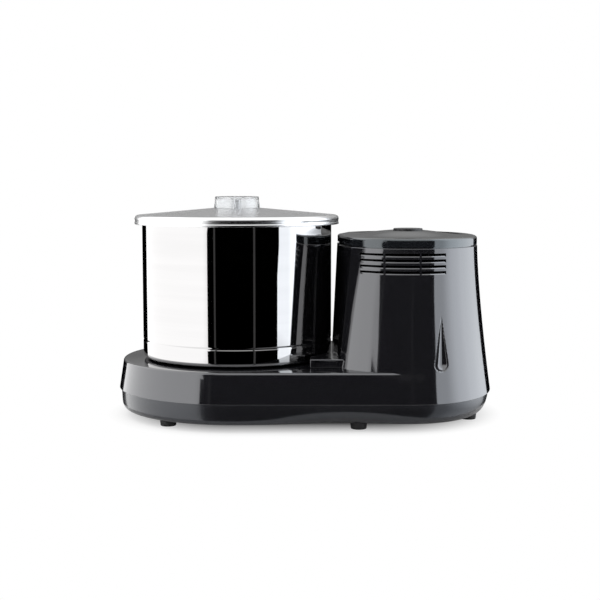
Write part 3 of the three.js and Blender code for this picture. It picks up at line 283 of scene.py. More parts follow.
def noise(tree, vector, scale, detail=3.0, rough=0.5):
    node = tree.nodes.new("ShaderNodeTexNoise")
    tree.links.new(vector, node.inputs["Vector"])
    for label, value in (("Scale", scale), ("Detail", detail), ("Roughness", rough)):
        feed(tree, value, node.inputs[label])
    return node.outputs[0]


def coordinates(tree, kind="Object"):
    return tree.nodes.new("ShaderNodeTexCoord").outputs[kind]


def split(tree, vector):
    node = tree.nodes.new("ShaderNodeSeparateXYZ")
    tree.links.new(vector, node.inputs[0])
    return node.outputs


# turns a value from 0 to 1 into a swing round 0
def swung(tree, value, spread):
    return times(tree, mathNode(tree, "SUBTRACT", value, 0.5), spread)


# orange peel and soft cloudy gloss of a moulded plastic, with a mask of its convex edges, where a lighter
# colour is painted as a highlight
def mouldedGroup():
    group, given, result = newGroup("mouldedSurface", {
        "Roughness": 0.1, "Spread": 0.04, "Cloud Scale": 18.0, "Peel Scale": 500.0,
    })
    place = coordinates(group)
    cloud = swung(group, noise(group, place, given["Cloud Scale"]), given["Spread"])
    smudge = mapped(group, noise(group, place, *effects["smudge"]), *effects["smudgeRange"], smooth=True)
    total = plus(group, plus(group, given["Roughness"], cloud), times(group, smudge, given["Spread"]))
    corner = group.nodes.new("ShaderNodeNewGeometry").outputs["Pointiness"]
    feed(group, mathNode(group, "MAXIMUM", total, 0.0), result["Roughness"])
    feed(group, noise(group, place, given["Peel Scale"], effects["peelDetail"]), result["Height"])
    # painted highlight: the pointiness mask picks out convex edges for the lighter edge colour
    feed(group, mapped(group, corner, *effects["edgeHighlightRange"], smooth=True), result["Mask"])
    return group


# fine polishing lines round an upright axis, with a mask of broad bands
def ringGroup():
    group, given, result = newGroup("polishLines", {
        "Axis": (benchX, 0, 0), "Across": 1800.0, "Along": 2.0, "Roughness": 0.06, "Spread": 0.04,
    })
    away = group.nodes.new("ShaderNodeVectorMath")
    away.operation = "SUBTRACT"
    group.links.new(coordinates(group), away.inputs[0])
    group.links.new(given["Axis"], away.inputs[1])
    x, y, z = split(group, away.outputs[0])
    radius = lengthOf(group, x, y)
    divisor = mathNode(group, "MAXIMUM", radius, effects["axisRadius"])
    unrolled = group.nodes.new("ShaderNodeCombineXYZ")
    for value, socket in zip((x, y), unrolled.inputs):
        feed(group, times(group, mathNode(group, "DIVIDE", value, divisor), given["Along"]), socket)
    feed(group, times(group, plus(group, radius, z), given["Across"]), unrolled.inputs[2])
    fine = noise(group, unrolled.outputs[0], *effects["fine"])
    broad = noise(group, unrolled.outputs[0], *effects["broad"])
    share = effects["fineShare"]
    lines = plus(group, times(group, fine, share), times(group, broad, 1 - share))
    total = plus(group, given["Roughness"], swung(group, lines, given["Spread"]))
    feed(group, mathNode(group, "MAXIMUM", total, 0.0), result["Roughness"])
    feed(group, lines, result["Height"])
    feed(group, mapped(group, broad, *effects["shadeRange"]), result["Mask"])
    return group


# pitted skin of cast or sawn stuff, with a mask of speckles
def castGroup():
    group, given, result = newGroup("grainySurface", {
        "Scale": 400.0, "Roughness": 0.5, "Spread": 0.2,
    })
    place = coordinates(group)
    cells = group.nodes.new("ShaderNodeTexVoronoi")
    group.links.new(place, cells.inputs["Vector"])
    group.links.new(given["Scale"], cells.inputs["Scale"])
    cloud = noise(group, place, given["Scale"], effects["grainDetail"], effects["grainRough"])
    pits = times(group, cells.outputs["Distance"], effects["pitShare"])
    feed(group, plus(group, given["Roughness"], swung(group, cloud, given["Spread"])), result["Roughness"])
    feed(group, plus(group, cloud, pits), result["Height"])
    feed(group, split(group, cells.outputs["Color"])[0], result["Mask"])
    return group


mouldedSurface = mouldedGroup()
polishLines = ringGroup()
grainySurface = castGroup()


# sockets that a look's keys set on the shader and on the surface group
shaderSockets = {
    "ior": "IOR", "coat": "Coat Weight", "coatRoughness": "Coat Roughness", "tint": "Specular Tint",
    "metallic": "Metallic", "anisotropic": "Anisotropic", "clear": "Transmission Weight",
}
groupSockets = {
    "roughness": "Roughness", "spread": "Spread", "cloud": "Cloud Scale", "peel": "Peel Scale",
    "across": "Across", "along": "Along", "scale": "Scale",
}


# dark is the colour where the group's mask is 0 and edge where it is 1, which on moulded stuff is a painted
# highlight along convex edges; each is the plain colour if left out
def newMaterial(name, group, look):
    material = bpy.data.materials.new(name)
    material.use_nodes = True
    material.diffuse_color = (*look["color"], 1)
    tree = material.node_tree
    shader = tree.nodes["Principled BSDF"]
    surface = tree.nodes.new("ShaderNodeGroup")
    surface.node_tree = group
    for node, sockets in ((shader, shaderSockets), (surface, groupSockets)):
        for key in look.keys() & sockets.keys():
            node.inputs[sockets[key]].default_value = look[key]
    bump = tree.nodes.new("ShaderNodeBump")
    bump.inputs["Strength"].default_value = look["bump"]
    bump.inputs["Distance"].default_value = look["depth"]
    mix = tree.nodes.new("ShaderNodeMix")
    mix.data_type = "RGBA"
    base = shader.inputs["Base Color"]
    for key, socket in (("dark", mix.inputs[6]), ("edge", mix.inputs[7]), ("color", base)):
        socket.default_value = (*look.get(key, look["color"]), 1)
    tree.links.new(surface.outputs["Roughness"], shader.inputs["Roughness"])
    tree.links.new(surface.outputs["Height"], bump.inputs["Height"])
    tree.links.new(bump.outputs[0], shader.inputs["Normal"])
    tree.links.new(surface.outputs["Mask"], mix.inputs[0])
    tree.links.new(mix.outputs[2], base)
    return material


# the edge colours of the moulded plastics and the rubber are painted highlights, lighter along convex edges
glossBlack = newMaterial("glossBlackPlastic", mouldedSurface, {
    "color": (0.010, 0.010, 0.012), "edge": (0.016, 0.016, 0.018), "ior": 1.9, "coat": 0.5,
    "coatRoughness": 0.02, "roughness": 0.08, "spread": 0.04, "cloud": 9.0, "peel": 260.0, "bump": 0.05,
    "depth": 0.00002, "tint": (0.95, 0.96, 1.0, 1),
})
capBlack = newMaterial("capBlackPlastic", mouldedSurface, {
    "color": (0.009, 0.010, 0.012), "edge": (0.014, 0.015, 0.018), "ior": 1.75, "coat": 0.4,
    "coatRoughness": 0.02, "roughness": 0.10, "spread": 0.04, "cloud": 9.0, "peel": 260.0, "bump": 0.05,
    "depth": 0.00002, "tint": (0.86, 0.95, 1.0, 1),
})
charcoal = newMaterial("charcoalPlastic", mouldedSurface, {
    "color": (0.011, 0.011, 0.013), "edge": (0.03, 0.03, 0.034), "ior": 1.5, "coat": 0.4,
    "coatRoughness": 0.10, "roughness": 0.22, "spread": 0.06, "cloud": 12.0, "peel": 900.0, "bump": 0.12,
    "depth": 0.00003, "tint": (0.86, 0.91, 1.0, 1),
})
mattBlack = newMaterial("mattBlackPlastic", mouldedSurface, {
    "color": (0.012, 0.012, 0.013), "edge": (0.03, 0.03, 0.032),
    "roughness": 0.4, "spread": 0.12, "cloud": 30.0, "peel": 1600.0, "bump": 0.25, "depth": 0.00005,
})
rubber = newMaterial("blackRubber", mouldedSurface, {
    "color": (0.035, 0.035, 0.036), "edge": (0.06, 0.06, 0.06),
    "roughness": 0.72, "spread": 0.2, "cloud": 50.0, "peel": 1200.0, "bump": 0.5, "depth": 0.0001,
})
drumSteel = newMaterial("polishedSteel", polishLines, {
    "color": (0.50, 0.495, 0.495), "dark": (0.48, 0.475, 0.475), "across": 900.0, "along": 3.0,
    "metallic": 1.0, "roughness": 0.035, "spread": 0.03, "bump": 0.03, "depth": 0.00001,
})
lidSteel = newMaterial("satinLidSteel", polishLines, {
    "color": (0.77, 0.77, 0.775), "dark": (0.70, 0.70, 0.705), "across": 2400.0, "along": 2.0,
    "metallic": 1.0, "roughness": 0.24, "spread": 0.08, "bump": 0.05, "depth": 0.00001, "anisotropic": 0.3,
})
plainSteel = newMaterial("turnedSteel", polishLines, {
    "color": (0.50, 0.50, 0.51), "dark": (0.38, 0.38, 0.39), "across": 3000.0, "along": 1.0,
    "metallic": 1.0, "roughness": 0.28, "spread": 0.16, "bump": 0.15, "depth": 0.00002,
})
castMetal = newMaterial("castAluminium", grainySurface, {
    "color": (0.52, 0.53, 0.54), "dark": (0.44, 0.45, 0.46), "metallic": 1.0, "scale": 700.0,
    "roughness": 0.42, "spread": 0.25, "bump": 0.35, "depth": 0.0001,
})
granite = newMaterial("granite", grainySurface, {
    "color": (0.30, 0.30, 0.31), "dark": (0.035, 0.035, 0.038), "scale": 620.0,
    "roughness": 0.55, "spread": 0.3, "bump": 0.5, "depth": 0.0002,
})
copper = newMaterial("windingCopper", grainySurface, {
    "color": (0.62, 0.30, 0.12), "dark": (0.40, 0.17, 0.06), "metallic": 1.0, "scale": 300.0,
    "roughness": 0.3, "spread": 0.2, "bump": 0.6, "depth": 0.0003,
})
clearPlastic = newMaterial("clearPlastic", mouldedSurface, {
    "color": (0.93, 0.94, 0.95), "clear": 0.88, "ior": 1.46,
    "roughness": 0.07, "spread": 0.02, "cloud": 40.0, "peel": 300.0, "bump": 0.05, "depth": 0.00003,
})
print("materials made")

# Shape of base and tower, as in the solids
plan = {
    "seam": 32.0, "deck": 66.0, "towerTop": 198.0, "tray": 9.0,
    "drumRadius": 110.0, "baseRadius": 138.0, "towerTopReach": 278.5, "towerSpread": 16.6,
    "topGap": 10.7, "lowGap": 3.0, "cornerTop": 21.0, "cornerLow": 3.0, "topHalfDepth": 112.0,
    "lobeHalf": 83.6, "lobeGrowth": 21.4, "cheekHalf": 26.0, "lobePower": 2.2, "reachPower": 1.4,
    "cornerRound": 2.4,
}
plan["capX"] = (plan["drumRadius"] + plan["topGap"] + plan["towerTopReach"]) / 2
fineness = {
    "lobe": 112, "tail": 22, "arc": 128, "hollow": 28, "straight": 10, "tower": 26,
    "fineFrom": -80.0, "fineTo": -60.0, "fineStep": 0.35,  # degrees, where the drop-shaped recess lies
}


def sizesAt(z, inset=0.0):
    share = (plan["towerTop"] - z) / (plan["towerTop"] - plan["seam"])
    half = plan["lobeHalf"] + plan["lobeGrowth"] * share
    reach = plan["towerTopReach"] + plan["towerSpread"] * max(share, 0) ** plan["reachPower"]
    depth = plan["topHalfDepth"] + (plan["baseRadius"] - plan["topHalfDepth"]) * share
    wall = plan["drumRadius"]
    return {
        "centre": reach - half, "half": half - inset, "depth": depth - inset,
        "hollow": wall + plan["topGap"] + (plan["lowGap"] - plan["topGap"]) * share + inset,
        "corner": wall + plan["cornerTop"] + (plan["cornerLow"] - plan["cornerTop"]) * share + inset,
    }


def lobePoint(sizes, angle):
    power = 2 / plan["lobePower"]
    c, s = math.cos(angle), math.sin(angle)
    return (sizes["centre"] + sizes["half"] * math.copysign(abs(c) ** power, c),
            sizes["depth"] * math.copysign(abs(s) ** power, s))


def frontDepth(z, x, inset=0.0):
    sizes = sizesAt(z, inset)
    across = abs((x - sizes["centre"]) / sizes["half"])
    return sizes["depth"] * (1 - across ** plan["lobePower"]) ** (1 / plan["lobePower"])


def lobeLine(sizes, fine=False):
    angles = levels(-90, 90, fineness["lobe"])
    if fine:
        start, end = fineness["fineFrom"], fineness["fineTo"]
        steps = round((end - start) / fineness["fineStep"])
        angles = [angle for angle in angles if not start <= angle <= end] + levels(start, end, steps)
    return [lobePoint(sizes, math.radians(angle)) for angle in sorted(angles)]


# left end of the base, from rear to front
def baseArc(radius):
    return onCircle(radius, levels(math.pi / 2, 3 * math.pi / 2, fineness["arc"]))


def baseOutline(z, inset=0.0):
    sizes = sizesAt(z, inset)
    depth = sizes["depth"]
    stops = levels(0, sizes["centre"], fineness["straight"])[1:-1]
    return lobeLine(sizes) + [(x, depth) for x in stops[::-1]] + baseArc(depth) + [(x, -depth) for x in stops]


# runs counter-clockwise, with rounded front and rear corners
def towerOutline(z, inset=0.0, fine=False):
    sizes = sizesAt(z, inset)
    cornerCos = ((sizes["centre"] - sizes["corner"]) / sizes["half"]) ** (plan["lobePower"] / 2)
    cornerAngle = math.pi - math.acos(cornerCos)
    tail = [lobePoint(sizes, angle) for angle in levels(math.pi / 2, cornerAngle, fineness["tail"])[1:]]
    tail.pop(-2)  # leaves room for the rounded corner
    tail[-1] = (*tail[-1], plan["cornerRound"])
    mirrored = [(x, -y, *radius) for x, y, *radius in reversed(tail)]
    side = math.asin(plan["cheekHalf"] / sizes["hollow"])
    hollow = onCircle(sizes["hollow"], levels(side, -side, fineness["hollow"]))
    return rounded(mirrored + lobeLine(sizes, fine) + tail + hollow)


def towerRings(low, high, steps, inset):
    return [(z, towerOutline(z, inset)) for z in levels(low, high, steps)]


# Upper housing
housing = {
    "wall": 2.8, "edge": 2.4, "edgeSteps": 7, "wallSteps": 6, "roomSteps": 4, "past": 1.0,
    "footRound": 0.8, "footSteps": 4, "topRound": 0.6, "topSteps": 4,
    "opening": 18.5, "collarHeight": 1.2, "collarWall": 3.0, "collarRound": 0.6, "collarSides": 96,
    "louvres": 4, "louvreTop": 6.5, "louvrePitch": 6.3, "louvreReach": 95.0, "louvreInset": 7.0,
    "slot": 2.4, "slotFlare": 1.0, "slotSteps": 12, "rearDrop": 45.0,
    "rib": 2.2, "ribShares": (0.28, 0.69), "finDepth": 14.0,
    "recessX": 226.0, "recessTop": 61.0, "recessLow": 8.0, "recessRadius": 8.0, "recessDepth": 6.0,
    "recessPower": 0.8, "recessStep": 1.0, "recessMargin": 2.0,
    "skinGap": 0.05, "skinSlack": 0.01, "facing": 0.9,
}
louvreLeft = plan["drumRadius"] + plan["cornerTop"] + housing["louvreInset"]


# a slot through the curved wall, with its lower lip sloping outward so that it catches the light
def slotCutter(x0, x1, z, side):
    half, flare, deep = housing["slot"] / 2, housing["slotFlare"], housing["wall"] * 2
    steps = housing["slotSteps"]
    section = [(-deep, -half), (-flare, -half), (flare, -half - 2 * flare), (flare, half), (-deep, half)]
    points = [(x, side * (frontDepth(z, x) + out), z + rise)
              for x in levels(x0, x1, steps) for out, rise in section]
    return newPiece("slot", points, loftFaces(steps + 1, len(section)), None)


def louvreCutters():
    cutters = []
    stops = [louvreLeft + housing["louvreReach"] * share for share in (0, *housing["ribShares"], 1)]
    for row in range(housing["louvres"]):
        z = plan["towerTop"] - housing["louvreTop"] - housing["louvrePitch"] * row
        for start, stop in zip(stops, stops[1:]):
            x0, x1 = start + housing["rib"] / 2, stop - housing["rib"] / 2
            cutters.append(slotCutter(x0, x1, z, -1))
            cutters.append(slotCutter(x0, x1, z - housing["rearDrop"], 1))
    return cutters


# upright ribs behind the louvres, where the slots stop
def louvreFins():
    fins = []
    half = housing["rib"] / 2
    for share in housing["ribShares"]:
        x = louvreLeft + housing["louvreReach"] * share
        for side, drop in ((-1, 0), (1, housing["rearDrop"])):
            high = plan["towerTop"] - housing["louvreTop"] + housing["louvrePitch"] / 2 - drop
            low = high - housing["louvrePitch"] * (housing["louvres"] + 0.5)
            skin = frontDepth(high, x, housing["wall"] / 2)
            near, far = sorted((side * skin, side * (skin - housing["finDepth"])))
            fins.append(boxPiece("fin", x - half, x + half, near, far, low, high))
    return fins


# how far the skin is pressed in at a place, for the drop-shaped recess
def recessDip(x, z):
    low, tip = plan["deck"] + housing["recessLow"], plan["deck"] + housing["recessTop"]
    across = abs(x - housing["recessX"])
    if z <= low:
        share, size = math.hypot(across, z - low) / housing["recessRadius"], 1
    else:
        size = (tip - z) / (tip - low)
        share = across / (housing["recessRadius"] * size) if size > 0 else 1
    if share >= 1:
        return 0
    return housing["recessDepth"] * size * (1 - share * share) ** housing["recessPower"]


def towerSkin():
    start = plan["deck"] - housing["edge"]
    end = plan["towerTop"] - housing["topRound"]
    past = plan["deck"] + housing["recessTop"] + housing["recessMargin"]
    heights = levels(start, past, round((past - start) / housing["recessStep"]))
    heights += levels(past, end, fineness["tower"])[1:]
    rings = []
    for z in heights:
        ring = towerOutline(z, fine=True)
        rings.append((z, [(x, y + recessDip(x, z)) if y < 0 else (x, y) for x, y in ring]))
    for sine, cosine in quarter(housing["topSteps"])[1:]:
        inset = housing["topRound"] * (1 - cosine)
        rings.append((end + housing["topRound"] * sine, towerOutline(plan["towerTop"], inset, True)))
    return loftedPiece("tower", rings, glossBlack)


# keeps the wall's thickness behind the recess
def recessBacking():
    x, wall = housing["recessX"], housing["wall"]
    half, back = housing["recessRadius"] + wall, housing["recessDepth"] + wall
    low, tip = plan["deck"] - wall, plan["deck"] + housing["recessTop"]
    side = [(-frontDepth(z, x, inset), z) for z, inset in ((low, 0), (low, back), (tip, wall), (tip, 0))]
    points = [(end, y, z) for end in (x - half, x + half) for y, z in side]
    return newPiece("backing", points, loftFaces(2, len(side)), None)


# outward direction of the moulded skin at a point on it, or None elsewhere
def skinNormal(x, y, z):
    def value(px, py, pz):
        sizes = sizesAt(pz)
        if px >= sizes["centre"] or pz > plan["deck"] - housing["edge"] + housing["skinSlack"]:
            across = abs((px - sizes["centre"]) / sizes["half"])
            deep = abs(py / sizes["depth"])
            power = plan["lobePower"]
            return ((across ** power + deep ** power) ** (1 / power) - 1) * sizes["depth"]
        if px >= 0:
            return abs(py) - sizes["depth"]
        return math.hypot(px, py) - sizes["depth"]
    step = housing["skinGap"]
    if abs(value(x, y, z)) > step:
        return None
    slope = (value(x + step, y, z) - value(x - step, y, z), value(x, y + step, z) - value(x, y - step, z),
             value(x, y, z + step) - value(x, y, z - step))
    return Vector(slope).normalized()


# points the normals on the curved skin straight out, so that reflections run clean past cuts
def trueNormals(piece):
    mesh = piece.data
    corners = [Vector(corner.vector) for corner in mesh.corner_normals]
    wanted = {}
    for vertex in mesh.vertices:
        x, y, z = vertex.co
        wanted[vertex.index] = skinNormal((x - benchX) / toMetres, y / toMetres, z / toMetres)
    for face in mesh.polygons:
        for loop in face.loop_indices:
            direction = wanted[mesh.loops[loop].vertex_index]
            if direction and direction.dot(face.normal) > housing["facing"]:
                corners[loop] = direction
    mesh.normals_split_custom_set([tuple(corner) for corner in corners])


def upperHousing():
    seam, deck, past = plan["seam"], plan["deck"], housing["past"]
    edge, foot, wall = housing["edge"], housing["footRound"], housing["wall"]
    rings = [(seam + foot * (1 - cosine), baseOutline(seam, foot * (1 - sine)))
             for sine, cosine in quarter(housing["footSteps"])[:-1]]
    rings += [(z, baseOutline(z)) for z in levels(seam + foot, deck - edge, housing["wallSteps"])]
    for sine, cosine in quarter(housing["edgeSteps"])[1:]:
        z = deck - edge + edge * sine
        rings.append((z, baseOutline(z, edge * (1 - cosine))))
    piece = loftedPiece("housingShell", rings, glossBlack)
    carved(piece, [towerSkin()], "UNION")
    under = deck - wall
    high = plan["towerTop"] + past
    towerRoom = loftedPiece("room", towerRings(under - past, high, housing["roomSteps"], wall))
    carved(towerRoom, [recessBacking()])
    carved(piece, [loftedPiece("room", [(z, baseOutline(z, wall)) for z in (seam - past, under)]), towerRoom])
    rim = deck + housing["collarHeight"]
    outside = housing["opening"] + housing["collarWall"]
    sides = housing["collarSides"]
    corners = [(0, under), (outside, under), (outside, rim, housing["collarRound"]), (0, rim)]
    carved(piece, [turnedPiece("collar", corners, None, sides), *louvreFins()], "UNION")
    carved(piece, [discPiece("opening", housing["opening"], seam, rim + past, sides=sides), *louvreCutters()])
    trueNormals(piece)
    placed(piece, "housing", "housing_gloss", "upper_housing")


upperHousing()
print("housing made")

# Cap of the tower and its disc
cap = {
    "seam": 1.3, "band": 9.3, "bandSteps": 3, "inset": 0.4, "edge": 2.8, "edgeSteps": 8, "wall": 3.2,
    "dome": 6.0, "domePower": 2.5, "domeSteps": 24, "flatShare": 0.25,
    "lip": 4.0, "lipWall": 2.0, "fit": 0.3, "past": 1.0,
    "discRadius": 17.0, "discHeight": 2.6, "discSink": 0.6, "discRound": 0.9, "discSides": 160,
    "seatSides": 96,
}


def domeRise(share):
    return cap["dome"] * (1 - share ** 2) ** cap["domePower"]


def scaledRing(ring, share):
    return [(plan["capX"] + (x - plan["capX"]) * share, y * share) for x, y in ring]


def capRings(foot, wall):
    top, edge = plan["towerTop"], cap["edge"]
    bandTop = top + cap["seam"] + cap["band"] - wall
    inset = cap["inset"] + wall
    rings = [(z, towerOutline(top, inset)) for z in levels(foot, bandTop, cap["bandSteps"])[:2]]
    for sine, cosine in quarter(cap["edgeSteps"]):
        rings.append((bandTop - edge * (1 - sine), towerOutline(top, inset + edge * (1 - cosine))))
    rim = rings[-1][1]
    for share in levels(1, cap["flatShare"], cap["domeSteps"])[1:]:
        rings.append((bandTop + domeRise(share), scaledRing(rim, share)))
    return rings


def towerCap():
    top, past = plan["towerTop"], cap["past"]
    foot = top + cap["seam"]
    piece = loftedPiece("capShell", capRings(foot, 0), capBlack)
    carved(piece, [loftedPiece("room", capRings(foot - past, cap["wall"]))])
    outside = housing["wall"] + cap["fit"]
    low, high = top - cap["lip"], foot + cap["lip"]
    lip = loftedPiece("lip", [(z, towerOutline(top, outside)) for z in (low, high)], mattBlack)
    hole = [(z, towerOutline(top, outside + cap["lipWall"])) for z in (low - past, high + past)]
    carved(lip, [loftedPiece("hole", hole)])
    carved(piece, [lip], "UNION")
    seat = foot + cap["band"] + domeRise(cap["flatShare"])
    at, sides = (plan["capX"], 0), cap["seatSides"]
    low = seat - cap["discSink"]
    carved(piece, [discPiece("seat", cap["discRadius"] + cap["fit"], low, seat + past, at=at, sides=sides)])
    placed(piece, "housing", "housing_gloss", "tower_cap")
    low += cap["fit"]
    high = low + cap["discHeight"]
    corners = [(0, low), (cap["discRadius"], low), (cap["discRadius"], high, cap["discRound"]), (0, high)]
    disc = turnedPiece("coverDisc", corners, mattBlack, cap["discSides"], at=at)
    placed(disc, "housing", "housing_gloss", "cap_disc")


towerCap()
print("cap made")

# Lower tray and feet
tray = {
    "inset": 2.4, "wall": 2.6, "floor": 3.0, "lip": 3.0, "tuck": 5.0, "fit": 0.3,
    "towerTuck": 6.0, "waist": 9.0, "waistDelay": 1.4, "waistPower": 2.0, "sideSteps": 40,
    "tuckShares": (1, 0.92, 0.7, 0.5, 0.33, 0.21, 0.13, 0.07, 0.03, 0),
    "riseShares": (0, 0.006, 0.035, 0.08, 0.14, 0.22, 0.33, 0.5, 0.7, 1),
    "vents": 5, "ventWidth": 4.0, "ventLength": 46.0, "ventPitch": 9.0,
    "cordX": 18.0, "cordRise": 12.0, "cordOpening": 6.5, "cordReach": 8.0, "cordSides": 48, "past": 1.0,
    "feet": ((-73.14, 86.39), (138.0, 103.36), (266.1, 47.61)), "footTop": 9.5, "footRound": 0.3,
    "footSides": 72, "sole": ((0, 0.6), (5.6, 0.6, 0.4), (6.2, 0, 0.4), (8.6, 0, 0.9)),
}


def waistDraw(along):
    towards = along * along * (3 - 2 * along)
    return tray["towerTuck"] * towards + tray["waist"] * math.sin(math.pi * along ** tray["waistDelay"]) ** 2


# drawn in under the tower and at the waist, most at the foot (rise 0)
def trayOutline(z, rise, inset):
    draw = (1 - rise) ** tray["waistPower"]
    full = sizesAt(z, inset)
    side = [(full["centre"] * along, full["depth"] - waistDraw(along) * draw)
            for along in levels(0, 1, tray["sideSteps"])[1:-1]]
    lobe = lobeLine(sizesAt(z, inset + tray["towerTuck"] * draw))
    return lobe + side[::-1] + baseArc(full["depth"]) + [(x, -y) for x, y in side]


def lowerTray():
    low, seam, past = plan["tray"], plan["seam"], tray["past"]
    height = seam - low - tray["fit"]
    rings = [(low + height * rise, trayOutline(seam, rise, tray["inset"] + tray["tuck"] * tuck))
             for rise, tuck in zip(tray["riseShares"], tray["tuckShares"])]
    piece = loftedPiece("traySkin", rings, charcoal)
    floorTop, lipTop, middle = low + tray["floor"], seam + tray["lip"], low + height / 2
    inset = tray["inset"] + tray["wall"]
    lip = [(middle, trayOutline(lipTop, 0.5, inset - tray["wall"] / 2)),
           (lipTop, trayOutline(lipTop, 1, housing["wall"] + tray["fit"]))]
    carved(piece, [loftedPiece("lip", lip)], "UNION")
    room = [(floorTop, trayOutline(seam, tray["floor"] / height, inset + tray["tuck"] / 2)),
            (middle, trayOutline(seam, 0.5, inset)), (lipTop + past, trayOutline(seam, 1, inset))]
    cutters = [loftedPiece("room", room)]
    halfLong, halfWide = tray["ventLength"] / 2, tray["ventWidth"] / 2
    left, right = plan["capX"] - halfLong, plan["capX"] + halfLong
    for i in range(tray["vents"]):
        y = (i - (tray["vents"] - 1) / 2) * tray["ventPitch"]
        cutters.append(boxPiece("vent", left, right, y - halfWide, y + halfWide, low - past, floorTop + past))
    place = Matrix.Translation((tray["cordX"], plan["baseRadius"] - tray["inset"], low + tray["cordRise"]))
    place @= Matrix.Rotation(math.pi / 2, 4, "X")
    reach, sides = tray["cordReach"], tray["cordSides"]
    cutters.append(discPiece("bore", tray["cordOpening"], -reach, reach, sides=sides, place=place))
    carved(piece, cutters)
    placed(piece, "housing", "tray_plastic", "lower_tray")


def feet():
    top = plan["tray"] - tray["fit"]
    corners = [*tray["sole"], (tray["footTop"], top, tray["footRound"]), (0, top)]
    places = [(x, y * side) for x, y in tray["feet"] for side in (-1, 1)]
    for number, at in enumerate(places, 1):
        piece = turnedPiece(f"footPad{number}", corners, rubber, tray["footSides"], at=at)
        placed(piece, "housing", "foot_rubber", f"foot_{number}")


lowerTray()
feet()
print("tray and feet made")

# Switch block on the deck and its rocker
switch = {
    "back": 25.6, "reach": 5.0, "proud": 3.3, "depth": 51.0, "height": 9.7, "drumGap": 4.0, "drumSides": 256,
    "bevel": (1.3, 5, 35), "rockerBevel": (0.45, 3, 50),  # width, steps, least angle in degrees
    "fit": 0.3, "past": 1.0, "cut": (-2.0, 20.0), "cutSteps": 6, "inset": 18.0, "room": 7.0, "pivotGap": 0.5,
    "rockerWidth": 25.0, "rockerHeight": 5.8, "rockerThick": 3.0, "crown": 1.1, "crownPower": 1.3,
    "crownSteps": 14, "tilt": 5.0,
}


def switchBlock():
    deck, past, fit = plan["deck"], switch["past"], switch["fit"]
    corner = sizesAt(deck)["corner"]
    left = plan["drumRadius"] - switch["back"]
    front = frontDepth(deck, corner) + switch["proud"]
    right, back = corner + switch["reach"], -front + switch["depth"]
    low = deck + fit
    high = low + switch["height"]
    middleX, middleZ = left + switch["inset"], low + switch["height"] / 2
    piece = boxPiece("switchBlock", left, right, -front, back, low, high, glossBlack)
    bevelled(piece, *switch["bevel"])
    halfWide, halfHigh = switch["rockerWidth"] / 2 + fit, switch["rockerHeight"] / 2 + fit
    towerSide = towerRings(deck + switch["cut"][0], deck + switch["cut"][1], switch["cutSteps"], -fit)
    drumSide = plan["drumRadius"] + switch["drumGap"]
    carved(piece, [
        discPiece("drumSide", drumSide, low - past, high + past, sides=switch["drumSides"]),
        loftedPiece("towerSide", towerSide),
        boxPiece("pocket", middleX - halfWide, middleX + halfWide, -front - past, -front + switch["room"],
                 middleZ - halfHigh, middleZ + halfHigh),
    ])
    placed(piece, "housing", "housing_gloss", "switch_housing")
    half, thick = switch["rockerWidth"] / 2 - fit, switch["rockerThick"] / 2
    line = [(half * across, -thick - switch["crown"] * (1 - abs(across) ** switch["crownPower"]))
            for across in levels(-1, 1, switch["crownSteps"])]
    line += [(half, thick), (-half, thick)]
    pivot = Vector((middleX, -front + thick + switch["crown"] + switch["pivotGap"], 0))
    turn = Matrix.Translation(pivot) @ Matrix.Rotation(-math.radians(switch["tilt"]), 4, "Z")
    low, high = middleZ - switch["rockerHeight"] / 2, middleZ + switch["rockerHeight"] / 2
    rings = [(z, [tuple((turn @ Vector((x, y, 0))).xy) for x, y in line]) for z in (low, high)]
    rocker = loftedPiece("rockerKey", rings, glossBlack)
    bevelled(rocker, *switch["rockerBevel"])
    placed(rocker, "rocker", "inner_plastic", "rocker_key")


switchBlock()
print("switch made")

# Drum: mirror-polished sheet steel with a rounded foot, a bead and a rolled rim
drum = {
    "foot": 67.5, "height": 163.0, "radius": 110.0, "sheet": 1.0, "footRadius": 5.0, "opening": 36.0,
    "beadRise": 20.5, "beadWidth": 2.2, "beadDepth": 0.5, "roll": 2.1, "rollShare": 0.6, "beadSteps": 12,
    "footSteps": 8, "rollSteps": 20, "sides": 320, "sharp": 50,
}
rimZ = drum["foot"] + drum["height"]


# stretch of a circle between two angles given in quarter turns
def arcLine(centreR, centreZ, radius, start, stop, steps):
    return onCircle(radius, [turn * math.pi / 2 for turn in levels(start, stop, steps)], centreR, centreZ)


# soft groove round the wall, listed upward on the outside and downward on the inside
def beadLine(radius, depth, outward):
    beadZ = drum["foot"] + drum["beadRise"]
    line = []
    for along in levels(-1, 1, drum["beadSteps"]):
        dip = depth * (0.5 + 0.5 * math.cos(math.pi * along))
        line.append((radius - dip, beadZ + drum["beadWidth"] * along))
    return line if outward else line[::-1]


def drumShell():
    radius, sheet, foot = drum["radius"], drum["sheet"], drum["foot"]
    inner, bead, roll = radius - sheet, drum["beadDepth"], drum["roll"]
    heel, steps = drum["footRadius"], drum["footSteps"]
    line = [(drum["opening"], foot)]
    line += arcLine(radius - heel, foot + heel, heel, -1, 0, steps)
    line += beadLine(radius, bead, True) + [(radius, rimZ - 2 * roll)]
    line += arcLine(inner + roll, rimZ - roll, roll, -drum["rollShare"], 2, drum["rollSteps"])
    line += beadLine(inner, bead, False)
    line += arcLine(inner - heel + sheet, foot + heel, heel - sheet, 0, -1, steps)
    line.append((drum["opening"], foot + sheet))
    piece = newPiece("drumWall", *turnedMesh(line, drum["sides"], True), drumSteel, drum["sharp"])
    placed(piece, "drum", "drum_steel", "drum_shell")


drumShell()

